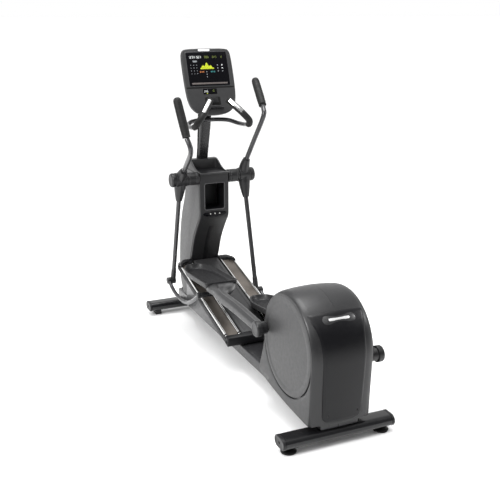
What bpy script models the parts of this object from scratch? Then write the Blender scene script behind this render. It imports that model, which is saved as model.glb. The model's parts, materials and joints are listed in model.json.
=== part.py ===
"""Elliptical trainer with moving arms. Metres, +Z up, +Y the way the user faces, +X the user's right.

Sizes along Y are measured from the rear foot bar. At the end everything hangs on one empty, which moves the
origin to the floor under the middle of the machine.
"""

import math

import bmesh
import bpy
import numpy as np
from mathutils import Matrix, Vector

GAP = 0.0004  # left between pieces that touch

# crank and drive housing
CRANK = (0.208, 0.424)  # y, z of the crank axle
CRANK_RADIUS = 0.2
CRANK_ANGLE = math.radians(7)  # of the left pin above the forward direction
DISC_RADIUS = 0.245
SHELL_RADIUS = 0.262
SHELL_CROWN = 0.018
SHELL_SIDE = 0.160
SHAFT = (0.36, 0.25)  # y, z of the flywheel shaft
PULLEY_RADIUS = 0.14
SMALL_PULLEY_RADIUS = 0.024

# frame, feet and ramp
BAR_TOP = 0.0856
BAR_BOTTOM = 0.030
FRAME_HALF = 0.10
FRAME_BOTTOM = BAR_TOP + GAP
FRAME_TOP = 0.150
REAR_BAR_Y = 0.0
FRONT_BAR_Y = 1.930
MIDDLE_Y = 0.95535  # halfway along the whole machine
FOOT_X = 0.248
WHEEL = (0.257, 1.958, 0.0125)
RAMP_SLOPE = 0.256
RAMP_BASE = -0.020  # height of the rail line at y = 0
RAMP_START = 0.92
RAMP_END = 1.70
RAIL_INNER = 0.098
RAIL_OUTER = 0.178
RAIL_RADIUS = 0.007
ROLLER_RADIUS = 0.030
ROLLER_Y = 1.430  # of the forward roller

# arms
HUB = (1.546, 0.975)  # y, z of the arm pivots
ARM_LENGTH = 0.72
ARM_SWING = math.radians(16.03)
ARM_X = 0.205
LINK_LENGTH = 0.5493
LINK_ALONG = -0.2275  # of the stud on the pedal arm, from the roller towards the crank
LINK_HIGH = -0.030

# tower, mast and console
TOWER_HALF = 0.095
CONSOLE = (1.556, 1.513)
CONSOLE_TILT = math.radians(20.8)


# shared shaping tools


def clear_scene():
    for obj in list(bpy.data.objects):
        bpy.data.objects.remove(obj, do_unlink=True)


def finish(name, colour, roughness, metallic):
    """The named material, made the first time it is asked for."""
    found = bpy.data.materials.get(name)
    if found:
        return found
    made = bpy.data.materials.new(name)
    made.use_nodes = True
    shader = made.node_tree.nodes["Principled BSDF"]
    shader.inputs["Base Color"].default_value = (*colour, 1)
    shader.inputs["Roughness"].default_value = roughness
    shader.inputs["Metallic"].default_value = metallic
    return made


def satin_black():
    return finish("satin_black_paint", (0.03, 0.03, 0.032), 0.35, 0.0)


def gunmetal():
    return finish("gunmetal_paint", (0.09, 0.09, 0.095), 0.35, 0.3)


def charcoal():
    return finish("charcoal_plastic", (0.06, 0.06, 0.062), 0.55, 0.0)


def grey_plastic():
    return finish("grey_plastic", (0.12, 0.12, 0.12), 0.5, 0.0)


def black_plastic():
    return finish("black_plastic", (0.015, 0.015, 0.016), 0.5, 0.0)


def rubber():
    return finish("black_rubber", (0.02, 0.02, 0.02), 0.85, 0.0)


def steel():
    return finish("bare_steel", (0.6, 0.6, 0.6), 0.3, 1.0)


def stainless():
    return finish("stainless_rail", (0.8, 0.8, 0.8), 0.15, 1.0)


def iron():
    return finish("cast_iron", (0.1, 0.1, 0.1), 0.6, 0.8)


def glass():
    return finish("display_glass", (0.01, 0.012, 0.015), 0.08, 0.0)


def make(name, points, faces, material, smooth):
    """One closed mesh object with its faces turned outwards."""
    mesh = bpy.data.meshes.new(name)
    mesh.from_pydata([tuple(p) for p in points], [], faces)
    shape = bmesh.new()
    shape.from_mesh(mesh)
    bmesh.ops.recalc_face_normals(shape, faces=shape.faces)
    shape.to_mesh(mesh)
    shape.free()
    mesh.materials.append(material)
    for polygon in mesh.polygons:
        polygon.use_smooth = smooth and len(polygon.vertices) == 4
    obj = bpy.data.objects.new(name, mesh)
    bpy.context.scene.collection.objects.link(obj)
    return obj


def loft(name, rings, material, smooth=False, closed=False):
    """A skin over rings of equal length. The ends are capped, or joined to each other when closed."""
    count = len(rings[0])
    points = [p for ring in rings for p in ring]
    faces = []
    spans = len(rings) if closed else len(rings) - 1
    for i in range(spans):
        a = i * count
        b = (i + 1) % len(rings) * count
        for j in range(count):
            k = (j + 1) % count
            faces.append((a + j, a + k, b + k, b + j))
    if not closed:
        faces.append(tuple(range(count)))
        last = (len(rings) - 1) * count
        faces.append(tuple(last + j for j in range(count)))
    return make(name, points, faces, material, smooth)


def plate(name, outline, x0, x1, material, edge=0.0):
    """A flat plate across X with this (y, z) outline, its edges rounded by `edge`."""
    obj = loft(name, [[(x, y, z) for y, z in outline] for x in (x0, x1)], material)
    return rounded(obj, edge)


def box(name, low, high, material, edge=0.0):
    outline = [(low[1], low[2]), (high[1], low[2]), (high[1], high[2]), (low[1], high[2])]
    return plate(name, outline, low[0], high[0], material, edge)


def rounded(obj, edge, segments=2):
    if edge:
        bevel = obj.modifiers.new("edges", "BEVEL")
        bevel.width = edge
        bevel.segments = segments
        bevel.limit_method = "ANGLE"
        bevel.angle_limit = math.radians(40)
    return obj


def turned(name, profile, centre, material, sides=32, bore=0.0):
    """A body of revolution about X: profile is (x, radius) pairs, centre the (y, z) of its axis."""
    turns = np.arange(sides) * 2 * math.pi / sides
    outer = list(profile)
    if bore:
        outer = outer + [(profile[-1][0], bore), (profile[0][0], bore)]
    rings = []
    for x, radius in outer:
        y = centre[0] + radius * np.cos(turns)
        z = centre[1] + radius * np.sin(turns)
        rings.append([(x, a, b) for a, b in zip(y, z)])
    return loft(name, rings, material, smooth=True, closed=bool(bore))


def curve_through(points, steps):
    """A Catmull-Rom curve through the points, with this many steps between neighbours."""
    p = np.array(points, float)
    p = np.vstack([2 * p[0] - p[1], p, 2 * p[-1] - p[-2]])
    t = (np.arange(steps) / steps)[:, None]
    out = []
    for i in range(1, len(p) - 2):
        a, b, c, d = p[i - 1 : i + 3]
        out.append(
            0.5 * (2 * b + (c - a) * t + (2 * a - 5 * b + 4 * c - d) * t**2 + (3 * b - a - 3 * c + d) * t**3)
        )
    return np.vstack(out + [p[-2][None]])


def sweep_rings(path, radii, sides, flat=1.0):
    """Rings square to the path. `flat` squeezes each ring along its second direction."""
    path = np.array(path, float)
    radii = np.broadcast_to(np.array(radii, float), (len(path),))
    along = np.gradient(path, axis=0)
    along /= np.linalg.norm(along, axis=1)[:, None]
    side = np.cross(along[0], (0.0, 0.3, 1.0))
    side /= np.linalg.norm(side)
    turns = np.arange(sides) * 2 * math.pi / sides
    rings = []
    for point, forward, radius in zip(path, along, radii):
        side = side - forward * (side @ forward)
        side /= np.linalg.norm(side)
        up = np.cross(forward, side)
        ring = point + radius * (np.cos(turns)[:, None] * side + flat * np.sin(turns)[:, None] * up)
        rings.append([tuple(p) for p in ring])
    return rings


def tube(name, path, radii, material, sides=14, flat=1.0):
    return loft(name, sweep_rings(path, radii, sides, flat), material, smooth=True)


def combine(obj, other, operation):
    """Boolean with `other`, which becomes a hidden helper."""
    other.hide_render = True
    other.display_type = "WIRE"
    step = obj.modifiers.new(operation.lower(), "BOOLEAN")
    step.operation = operation
    step.solver = "EXACT"
    step.object = other
    return obj


def cut(obj, other):
    return combine(obj, other, "DIFFERENCE")


def join(obj, other):
    return combine(obj, other, "UNION")


def ramp_height(y):
    return RAMP_BASE + RAMP_SLOPE * y


# rear and front foot bars


def bar_section(centre_y, half_depth, grow=0.0):
    """(y, z) points of the flattened tube that both foot bars are made of."""
    middle = (BAR_TOP + BAR_BOTTOM) / 2
    radius = (BAR_TOP - BAR_BOTTOM) / 2 + grow
    reach = half_depth - (BAR_TOP - BAR_BOTTOM) / 2
    turns = np.linspace(-math.pi / 2, math.pi / 2, 9)
    front = [(centre_y + reach + radius * math.cos(t), middle + radius * math.sin(t)) for t in turns]
    back = [(centre_y - reach - radius * math.cos(t), middle - radius * math.sin(t)) for t in turns]
    return front + back


def foot_bar(name, y, half_length):
    bar = plate(f"{name}_foot_bar", bar_section(y, 0.05), -half_length, half_length, satin_black())
    for side, s in (("left", -1), ("right", 1)):
        inner, outer = s * (half_length + GAP), s * (half_length + 0.014)
        cap = plate(f"{name}_bar_cap_{side}", bar_section(y, 0.05, 0.001), inner, outer, black_plastic(), 0.003)
        middle = (BAR_TOP + BAR_BOTTOM) / 2
        hole = turned(f"cut_{name}_cap_{side}", [(outer - s * 0.006, 0.006), (outer + s * 0.01, 0.006)], (y, middle), rubber(), 12)
        cut(cap, hole)
    return bar


def levelling_foot(name, x, y, bar):
    """A round rubber foot on a threaded stem that screws into the bar."""
    way = [[(x + 0.0063 * math.cos(t), y + 0.0063 * math.sin(t), z) for t in np.arange(20) * 2 * math.pi / 20] for z in (0.01, 0.0485)]
    cut(bar, loft(f"cut_{name}", way, rubber()))
    turns = np.arange(20) * 2 * math.pi / 20
    rings = []
    for z, radius in ((0, 0.019), (0.003, 0.021), (0.012, 0.021), (0.016, 0.017), (0.0161, 0.006), (0.048, 0.006)):
        rings.append([(x + radius * math.cos(t), y + radius * math.sin(t), z) for t in turns])
    loft(name, rings, rubber(), smooth=True)


def transport_wheel(side, s, bar):
    """A block under the front bar that holds a small wheel just clear of the floor."""
    x = s * WHEEL[0]
    join(bar, box(f"join_{side}_front_foot", (x - 0.018, 1.902, 0), (x + 0.018, 1.978, 0.045), black_plastic()))
    cut(bar, box(f"cut_{side}_wheel", (x - 0.0115, 1.938, -0.01), (x + 0.0115, 2.01, 0.0275), rubber()))
    edge = [(x - 0.010, 0.009), (x - 0.009, 0.010), (x + 0.009, 0.010), (x + 0.010, 0.009)]
    turned(f"{side}_transport_wheel", edge, WHEEL[1:], rubber(), 20)


# frame and ramp


def main_frame():
    box("main_frame", (-FRAME_HALF, -0.03, FRAME_BOTTOM), (FRAME_HALF, 1.95, FRAME_TOP), gunmetal(), 0.006)


def ramp_outline(low, high, start, end):
    """A strip along the slope, from `low` to `high` above the rail line."""
    return [
        (start, ramp_height(start) + low),
        (end, ramp_height(end) + low),
        (end, ramp_height(end) + high),
        (start, ramp_height(start) + high),
    ]


def ramp():
    deck = plate("ramp_deck", ramp_outline(-0.045, -0.014, RAMP_START - 0.05, RAMP_END), -0.1855, 0.1855, charcoal(), 0.004)
    stand = [(0.90, FRAME_TOP + GAP), (1.66, FRAME_TOP + GAP), (1.66, ramp_height(1.66) - 0.03), (0.90, ramp_height(0.90) - 0.03)]
    join(deck, plate("join_ramp_stand", stand, -0.08, 0.08, charcoal()))
    join(deck, plate("join_ramp_lower_cap", ramp_outline(-0.03, 0.004, RAMP_START - 0.048, RAMP_START - 0.012), -0.1855, 0.1855, black_plastic()))
    plate("ramp_centre_cover", ramp_outline(-0.0136, 0.006, RAMP_START - 0.010, RAMP_END - 0.012), -0.084, 0.084, charcoal(), 0.004)
    for side, s in (("left", -1), ("right", 1)):
        rails = []
        for place, x in (("inner", RAIL_INNER), ("outer", RAIL_OUTER)):
            ends = [(s * x, y, ramp_height(y) - 0.002) for y in (RAMP_START - 0.010, RAMP_END - 0.012)]
            rails.append(tube(f"join_{side}_{place}_rail", ends, RAIL_RADIUS, stainless(), 12))
        strip = ramp_outline(-0.0136, -0.004, RAMP_START - 0.010, RAMP_END - 0.012)
        low, high = sorted((s * (RAIL_INNER + 0.002), s * (RAIL_OUTER - 0.002)))
        track = plate(f"{side}_roller_track", strip, low, high, stainless())
        for rail in rails:
            join(track, rail)


# drive housing and what turns inside it


def shell_outline(radius, inset=0.0, drop=0.0):
    """(y, z) outline of the housing: a round back, top and front that runs down beside the frame."""
    y0, z0 = CRANK
    turns = np.radians(np.linspace(-8, 188, 29))
    points = [(y0 - radius * math.cos(t), z0 + radius * math.sin(t)) for t in turns]
    points += [(0.482 - inset, 0.32), (0.515 - inset, 0.23), (0.53 - inset, 0.180)]
    bottom = [(0.50 - inset, 0.165), (0.36, 0.142), (0.20, 0.124), (0.02, 0.114), (y0 - radius + 0.012, 0.114)]
    return points + [(y, z - drop) for y, z in bottom]


def crowned(x):
    """Outer radius of the housing at this distance from its middle plane."""
    x = abs(x)
    if x <= 0.142:
        return SHELL_RADIUS + 0.6 * SHELL_CROWN * (1 - (x / 0.142) ** 2)
    return SHELL_RADIUS - 0.008 * ((x - 0.142) / (SHELL_SIDE - 0.142)) ** 2


def housing_half(side, s):
    """Half of the moulded housing, hollow and open towards the middle."""
    rings = []
    for x in (0.0015, 0.04, 0.08, 0.115, 0.142, 0.154, SHELL_SIDE):
        rings.append([(s * x, y, z) for y, z in shell_outline(crowned(x))])
    shell = loft(f"{side}_housing", rings, charcoal(), smooth=True)
    inner = []
    for x in (-0.02, 0.04, 0.08, 0.115, 0.143):
        inner.append([(s * x, y, z) for y, z in shell_outline(crowned(x) - 0.006, 0.006, 0.05)])
    cut(shell, loft(f"cut_{side}_housing", inner, charcoal()))
    reach = FRAME_HALF + 0.0006
    cut(shell, box(f"cut_{side}_frame_way", (-reach, 0.40, 0.02), (reach, 0.60, FRAME_TOP + 0.0008), charcoal()))
    face = SHELL_SIDE - 0.0105
    cut(shell, turned(f"cut_{side}_recess", [(s * face, DISC_RADIUS + 0.004), (s * 0.2, DISC_RADIUS + 0.004)], CRANK, charcoal(), 64))
    cut(shell, turned(f"cut_{side}_axle", [(s * 0.1, 0.03), (s * 0.2, 0.03)], CRANK, charcoal(), 24))


def rear_panel():
    """The dark panel that wraps the back and the top of the housing."""
    angles = np.radians(np.linspace(74, 0, 12))
    across = np.linspace(-1, 1, 9)
    outer_rows, inner_rows = [], []
    stations = [(t, None) for t in angles] + [(None, z) for z in (0.36, 0.28, 0.20, 0.13)]
    for turn, height in stations:
        half = 0.122 if height is None else 0.122 - 0.02 * (0.36 - height) / 0.23
        row_out, row_in = [], []
        for a in across:
            x = a * half
            for lift, row in ((0.0055, row_out), (0.0014, row_in)):
                radius = crowned(x) + lift
                if height is None:
                    row.append((x, CRANK[0] - radius * math.cos(turn), CRANK[1] + radius * math.sin(turn)))
                else:
                    row.append((x, CRANK[0] - radius + 0.012 * (0.424 - height) / 0.332, height))
        outer_rows.append(row_out)
        inner_rows.append(row_in[::-1])
    rings = [out + inn for out, inn in zip(outer_rows, inner_rows)]
    loft("housing_rear_panel", rings, black_plastic(), smooth=True)


def crank_disc(side, s):
    inside = SHELL_SIDE - 0.0095
    profile = [(s * inside, DISC_RADIUS - 0.002), (s * (SHELL_SIDE - 0.001), DISC_RADIUS)]
    profile += [(s * (SHELL_SIDE + 0.0015), DISC_RADIUS - 0.003), (s * (SHELL_SIDE + 0.005), 0.15), (s * (SHELL_SIDE + 0.006), 0.03)]
    turned(f"{side}_crank_disc", profile, CRANK, grey_plastic(), 64)


def drive_train():
    rim = PULLEY_RADIUS
    steps = [(-0.150, 0.015), (0.040, 0.015), (0.0402, rim - 0.002), (0.041, rim)]
    steps += [(0.059, rim), (0.060, rim - 0.002), (0.0602, 0.015), (0.150, 0.015)]
    turned("crank_axle_pulley", steps, CRANK, steel(), 48)
    small = SMALL_PULLEY_RADIUS
    steps = [(-0.094, 0.010), (0.040, 0.010), (0.0402, small), (0.060, small), (0.0602, 0.010), (0.094, 0.010)]
    turned("flywheel_shaft", steps, SHAFT, steel(), 24)
    turned("flywheel", [(-0.060, 0.083), (-0.058, 0.085), (-0.022, 0.085), (-0.020, 0.083)], SHAFT, iron(), 40, bore=0.010 + GAP)
    drive_belt()
    support = box("drive_support", (-0.099, 0.11, FRAME_TOP + GAP), (0.099, 0.155, FRAME_TOP + 0.006), gunmetal())
    for side, s in (("left", -1), ("right", 1)):
        x = s * 0.098
        outline = [(0.10, FRAME_TOP + GAP), (0.44, FRAME_TOP + GAP), (0.44, 0.28), (0.27, 0.48), (0.15, 0.48), (0.10, 0.40)]
        join(support, plate(f"join_{side}_drive_plate", outline, x - 0.003, x + 0.003, gunmetal()))
        join(support, turned(f"join_{side}_bearing", [(x - 0.010, 0.030), (x + 0.010, 0.030)], CRANK, steel(), 24))
    cut(support, turned("cut_drive_axle", [(-0.12, 0.0154), (0.12, 0.0154)], CRANK, steel(), 24))
    magnet = [(SHAFT[0] + 0.0870 * math.cos(t), SHAFT[1] + 0.0870 * math.sin(t)) for t in np.radians(np.linspace(20, 80, 7))]
    magnet += [(SHAFT[0] + 0.105 * math.cos(t), SHAFT[1] + 0.105 * math.sin(t)) for t in np.radians(np.linspace(80, 20, 7))]
    plate("brake_magnet", magnet, -0.0945, -0.022, iron())


def drive_belt():
    """A flat belt round both pulleys."""
    y0, z0 = CRANK
    y1, z1 = SHAFT
    distance = math.hypot(y1 - y0, z1 - z0)
    heading = math.atan2(z1 - z0, y1 - y0)
    lean = math.acos((PULLEY_RADIUS - SMALL_PULLEY_RADIUS) / distance)
    rings = []
    for centre, radius, turns in (
        ((y1, z1), SMALL_PULLEY_RADIUS, np.linspace(heading - lean, heading + lean, 9)),
        ((y0, z0), PULLEY_RADIUS, np.linspace(heading + lean, heading - lean + 2 * math.pi, 33)),
    ):
        for t in turns:
            low = (centre[0] + (radius + GAP) * math.cos(t), centre[1] + (radius + GAP) * math.sin(t))
            high = (centre[0] + (radius + 0.004) * math.cos(t), centre[1] + (radius + 0.004) * math.sin(t))
            rings.append([(0.042, *low), (0.058, *low), (0.058, *high), (0.042, *high)])
    loft("drive_belt", rings, rubber(), closed=True)


# tower


def tower_rear_line():
    return [(1.512, 1.000), (1.512, 0.735), (1.560, 0.680), (1.635, 0.575), (1.680, 0.466), (1.706, 0.40), (1.722, 0.30), (1.728, 0.152)]


def tower_front_line():
    low = [(1.860, 0.152), (1.905, 0.22), (1.920, 0.33), (1.912, 0.45), (1.890, 0.58), (1.850, 0.70)]
    return low + [(1.800, 0.80), (1.778, 0.86), (1.765, 0.93), (1.762, 1.000)]


def shifted(line, dy):
    return [(y + dy, z) for y, z in line]


def tower():
    rear = tower_rear_line()
    front = tower_front_line()
    for side, s in (("left", -1), ("right", 1)):
        outline = shifted(rear, 0.020) + front
        low, high = sorted((s * 0.079, s * TOWER_HALF))
        panel = plate(f"{side}_tower_panel", outline, low, high, grey_plastic(), 0.004)
        cut(panel, hub_way(f"{side}_panel"))
    cover = plate("tower_rear_cover", rear + shifted(rear, 0.0196)[::-1], -0.093, 0.093, charcoal(), 0.003)
    line = [(y + 0.008, z) for y, z in ((1.560, 0.680), (1.635, 0.575), (1.680, 0.466), (1.706, 0.40))]
    back = [(y - 0.05, z) for y, z in ((1.560, 0.680), (1.635, 0.575), (1.680, 0.466), (1.706, 0.40))][::-1]
    cut(cover, plate("cut_tower_slot", line + back, -0.014, 0.014, charcoal()))
    cut(cover, hub_way("rear_cover"))
    join(cover, box("join_storage_bin", (-0.067, 1.52, 0.779), (0.067, 1.640, 0.947), black_plastic()))
    cut(cover, box("cut_storage_bin", (-0.063, 1.45, 0.783), (0.063, 1.636, 0.943), charcoal()))
    cover_line = [(y - 0.0196, z) for y, z in front[::-1]]
    plate("tower_front_cover", front + cover_line, -0.0786, 0.0786, grey_plastic(), 0.0)


def hub_way(name):
    """A cutter that leaves room for the hub cross tube."""
    return turned(f"cut_{name}_hub", [(-0.2, 0.0224), (0.2, 0.0224)], HUB, charcoal(), 28)


def mast_outline(grow=0.0):
    low = [(1.710 - grow, 1.0), (1.765 + grow, 1.0)]
    high = [(1.690, 1.45), (1.683, 1.50), (1.6425, 1.499), (1.6185, 1.4355)]
    return low + [(1.668 + grow, 1.33)] + high + [(1.622 - grow, 1.33)]


def tower_post():
    """The steel upright from the frame to the hub, leaning back at the top as the mast."""
    outline = [(1.749, FRAME_TOP + GAP), (1.800, FRAME_TOP + GAP), (1.800, 0.55), (1.782, 0.70)]
    outline += [(1.733, 0.9975), (1.683, 0.9975), (1.729, 0.70), (1.749, 0.45)]
    post = plate("tower_post", outline, -0.035, 0.035, gunmetal())
    join(post, box("join_hub_bracket", (-0.03, 1.535, 0.9505), (0.03, 1.71, 0.9975), gunmetal()))
    cut(post, hub_way("post"))
    outline = mast_outline()
    plate("mast", outline, -0.032, 0.032, satin_black(), 0.006)


def top_tray():
    """An open tray on top of the tower, low towards the user."""
    outline = [(1.500, 1.0004), (1.762, 1.0004), (1.775, 1.02), (1.772, 1.045), (1.750, 1.062), (1.700, 1.066)]
    outline += [(1.660, 1.050), (1.600, 1.014), (1.500, 1.008)]
    tray = plate("top_tray", outline, -0.092, 0.092, charcoal(), 0.003)
    inside = [(1.512, 1.005), (1.690, 1.005), (1.690, 1.10), (1.512, 1.10)]
    cut(tray, plate("cut_top_tray", inside, -0.082, 0.082, charcoal()))
    cut(tray, plate("cut_mast_way", mast_outline(0.0008), -0.0328, 0.0328, charcoal()))


def hub_tube():
    """The cross tube that carries both arms, clamped through the top of the tower."""
    steps = [(0.0954, 0.022), (0.0955, 0.040), (0.1678, 0.040), (0.168, 0.022), (0.240, 0.022)]
    steps = [(-x, r) for x, r in steps[::-1]] + steps
    turned("hub_cross_tube", steps, HUB, charcoal(), 28)
    for side, s in (("left", -1), ("right", 1)):
        turned(f"{side}_hub_cap", [(s * (0.240 + GAP), 0.042), (s * 0.262, 0.042), (s * 0.268, 0.036)], HUB, charcoal(), 28)


# moving arms


def swung(point, swing):
    """An arm point, given for a hanging arm, turned about the hub. A positive swing takes the lower end forwards."""
    x, y, z = point
    y, z = y - HUB[0], z - HUB[1]
    c, s = math.cos(swing), math.sin(swing)
    return (x, HUB[0] + y * c - z * s, HUB[1] + y * s + z * c)


def arm(side, s):
    swing = -s * ARM_SWING

    def at(x, y, z):
        return swung((s * x, y, z), swing)

    boot_path = [at(ARM_X, HUB[0], 0.835), at(ARM_X, HUB[0], 0.88), at(ARM_X, HUB[0], 0.93), at(ARM_X, HUB[0] - 0.004, 0.985), at(0.207, 1.510, 1.030), at(0.211, 1.484, 1.062)]
    boot = tube(f"{side}_arm_hub", boot_path, [0.019, 0.026, 0.033, 0.0345, 0.028, 0.021], charcoal(), 18)
    join(boot, turned(f"join_{side}_hub", [(s * 0.1685, 0.043), (s * 0.2395, 0.043)], HUB, charcoal(), 28))
    cut(boot, turned(f"cut_{side}_hub", [(s * 0.10, 0.022 + GAP), (s * 0.30, 0.022 + GAP)], HUB, charcoal(), 24))
    upper = curve_through([(0.2115, 1.481, 1.066), (0.232, 1.385, 1.166), (0.252, 1.296, 1.258), (0.262, 1.273, 1.300), (0.268, 1.284, 1.325), (0.276, 1.307, 1.350)], 4)
    tube(f"{side}_upper_tube", [at(*p) for p in upper], 0.014, gunmetal(), 14)
    bottom, top = Vector((0.2770, 1.3118, 1.3565)), Vector((0.304, 1.439, 1.537))
    stations = ((0, 0.0205), (0.012, 0.023), (0.5, 0.0240), (0.93, 0.0230), (0.98, 0.018), (1.0, 0.009))
    grip = [bottom.lerp(top, t) for t, _ in stations]
    tube(f"{side}_arm_grip", [at(*p) for p in grip], [r for _, r in stations], rubber(), 16)
    lower = [at(ARM_X, HUB[0], 0.8345), at(0.203, HUB[0], HUB[1] - ARM_LENGTH + 0.06)]
    lower = tube(f"{side}_lower_tube", lower, 0.0135, gunmetal(), 14)
    ferrule = tube(f"join_{side}_lower_ferrule", [at(0.203, HUB[0], HUB[1] - ARM_LENGTH + 0.085), at(0.203, HUB[0], HUB[1] - ARM_LENGTH + 0.012)], [0.0141, 0.0143], charcoal(), 16)
    centre = at(0.203, HUB[0], HUB[1] - ARM_LENGTH)
    join(lower, ferrule)
    join(lower, turned(f"join_{side}_eye", [(s * 0.1885, 0.022), (s * 0.2172, 0.022)], centre[1:], charcoal(), 24))
    return centre


# pedal arms, rollers and link bars


def pedal_frame(s):
    """Pin, roller and the two unit directions of a pedal arm: (pin, roller, forward, up) in y, z."""
    angle = CRANK_ANGLE + (0 if s < 0 else math.pi)
    pin = np.array([CRANK[0] + CRANK_RADIUS * math.cos(angle), CRANK[1] + CRANK_RADIUS * math.sin(angle)])
    left_pin = np.array([CRANK[0] + CRANK_RADIUS * math.cos(CRANK_ANGLE), CRANK[1] + CRANK_RADIUS * math.sin(CRANK_ANGLE)])
    length = np.linalg.norm(left_pin - roller_at(ROLLER_Y))
    y = ROLLER_Y
    if s > 0:
        low, high = 0.6, ROLLER_Y
        for _ in range(60):
            y = (low + high) / 2
            if np.linalg.norm(pin - roller_at(y)) > length:
                high = y
            else:
                low = y
    roller = roller_at(y)
    forward = (roller - pin) / length
    up = np.array([-forward[1], forward[0]])
    return pin, roller, forward, up


def roller_at(y):
    lift = (ROLLER_RADIUS + 0.0005) * math.sqrt(1 + RAMP_SLOPE**2)
    return np.array([y, ramp_height(y) - 0.004 + lift])


def pedal(side, s):
    pin, roller, forward, up = pedal_frame(s)

    def at(x, along, high):
        y, z = roller + along * forward + high * up
        return (s * x, y, z)

    length = float(np.linalg.norm(pin - roller))
    path = [(0.141, 0.05, 0.012), (0.141, -0.12, 0.012), (0.145, -0.30, 0.010), (0.150, -0.36, 0.008), (0.172, -0.46, 0.022)]
    path += [(0.1995, -0.575, 0.028), (0.2035, -0.80, 0.020), (0.2045, -length + 0.03, 0.003)]
    sizes = [(0.030, 0.018), (0.032, 0.018), (0.034, 0.019), (0.034, 0.020), (0.030, 0.024), (0.028, 0.027), (0.028, 0.026), (0.026, 0.024)]
    rings = []
    for (x, along, high), (half, deep) in zip(path, sizes):
        ring = []
        for a in np.arange(16) * 2 * math.pi / 16:
            c, q = math.cos(a), math.sin(a)
            ring.append(at(x + half * math.copysign(abs(c) ** 0.6, c), along, high + deep * math.copysign(abs(q) ** 0.6, q)))
        rings.append(ring)
    body = loft(f"{side}_pedal_arm", rings, charcoal(), smooth=True)
    boss = [(s * 0.1700, 0.026), (s * 0.174, 0.030), (s * 0.205, 0.030), (s * 0.206, 0.036), (s * 0.232, 0.036), (s * 0.236, 0.031)]
    join(body, turned(f"join_{side}_boss", boss, tuple(pin), charcoal(), 28))
    lug = [at(0.0, along, high)[1:] for along, high in ((-0.262, 0.0), (-0.193, 0.0), (-0.216, -0.042), (-0.239, -0.042))]
    join(body, plate(f"join_{side}_lug", lug, s * 0.150, s * 0.168, charcoal()))
    stud = at(0.0, LINK_ALONG, LINK_HIGH)[1:]
    join(body, turned(f"join_{side}_stud", [(s * 0.150, 0.015), (s * 0.2172, 0.015)], stud, charcoal(), 20))
    fork = [at(0.0, along, high)[1:] for along, high in ((-0.036, -0.05), (0.10, -0.05), (0.10, 0.05), (-0.036, 0.05))]
    cut(body, plate(f"cut_{side}_fork", fork, s * 0.1235, s * 0.1585, charcoal()))
    cut(body, turned(f"cut_{side}_axle_bore", [(s * 0.09, 0.006), (s * 0.20, 0.006)], tuple(roller), charcoal(), 16))
    footpad(side, s, at)
    turned(f"{side}_roller_axle", [(s * 0.109, 0.0055), (s * 0.173, 0.0055)], tuple(roller), steel(), 12)
    turned(f"{side}_roller", [(s * 0.1255, 0.028), (s * 0.1275, ROLLER_RADIUS), (s * 0.1545, ROLLER_RADIUS), (s * 0.1565, 0.028)], tuple(roller), rubber(), 32, bore=0.0055 + GAP)
    return at, pin, roller


def footpad(side, s, at):
    """A deep foot tray with raised front and side walls."""
    floor = 0.032
    spans = [(0.13, 0.045, 0.060), (0.12, 0.075, 0.064), (0.05, 0.092, 0.066), (-0.10, 0.099, 0.066), (-0.25, 0.102, 0.068), (-0.335, 0.095, 0.075), (-0.345, 0.085, 0.075)]
    centre = 0.128
    rings = []
    for along, half, top in spans:
        rings.append([at(centre - half, along, floor), at(centre + half, along, floor), at(centre + half + 0.004, along, top), at(centre - half - 0.004, along, top)])
    tray = loft(f"{side}_footpad", rings, charcoal())
    hollow = []
    for along, half, top in ((0.115, 0.060, 0), (0.05, 0.082, 0), (-0.10, 0.089, 0), (-0.25, 0.092, 0), (-0.325, 0.085, 0)):
        low = floor + 0.008
        hollow.append([at(centre - half, along, low), at(centre + half, along, low), at(centre + half, along, 0.12), at(centre - half, along, 0.12)])
    cut(tray, loft(f"cut_{side}_footpad", hollow, charcoal()))


def link_bar(side, s, joint, bracket):
    """The curved round bar between the lower joint of an arm and its pedal arm."""
    front, back = np.array(joint), np.array(bracket)
    x = s * 0.2295
    front[0] = back[0] = x
    points = []
    for t, sag in ((0.0, 0.0), (0.18, 0.055), (0.42, 0.085), (0.66, 0.080), (0.86, 0.040), (1.0, 0.0)):
        point = front + (back - front) * t
        point[2] -= sag
        points.append(point)
    bar = tube(f"{side}_link_bar", curve_through(points, 4), 0.0115, gunmetal(), 14)
    join(bar, turned(f"join_{side}_link_front", [(s * 0.2178, 0.0215), (s * 0.241, 0.0215), (s * 0.244, 0.018)], joint[1:], charcoal(), 24))
    join(bar, turned(f"join_{side}_link_back", [(s * 0.2178, 0.018), (s * 0.241, 0.018)], bracket[1:], charcoal(), 24))


# console and fixed handlebar


def console_point(x, up, out):
    """A point of the console: across, up its face and out towards the user."""
    c, s = math.cos(CONSOLE_TILT), math.sin(CONSOLE_TILT)
    return (x, CONSOLE[0] + up * s - out * c, CONSOLE[1] + up * c + out * s)


def console_outline(grow):
    """Half-widths up the face of the console, mirrored into one closed outline."""
    right = [(0.0, -0.172), (0.045, -0.170), (0.090, -0.160), (0.120, -0.142), (0.142, -0.108), (0.153, -0.06), (0.157, 0.0), (0.158, 0.08), (0.157, 0.16), (0.153, 0.205), (0.140, 0.224), (0.10, 0.229), (0.0, 0.230)]
    points = [(x, u) for x, u in right] + [(-x, u) for x, u in right[-2:0:-1]]
    middle = np.array([0.0, 0.03])
    out = []
    for p in np.array(points):
        d = p - middle
        out.append(middle + d * (1 + grow / np.linalg.norm(d)))
    return out


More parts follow.
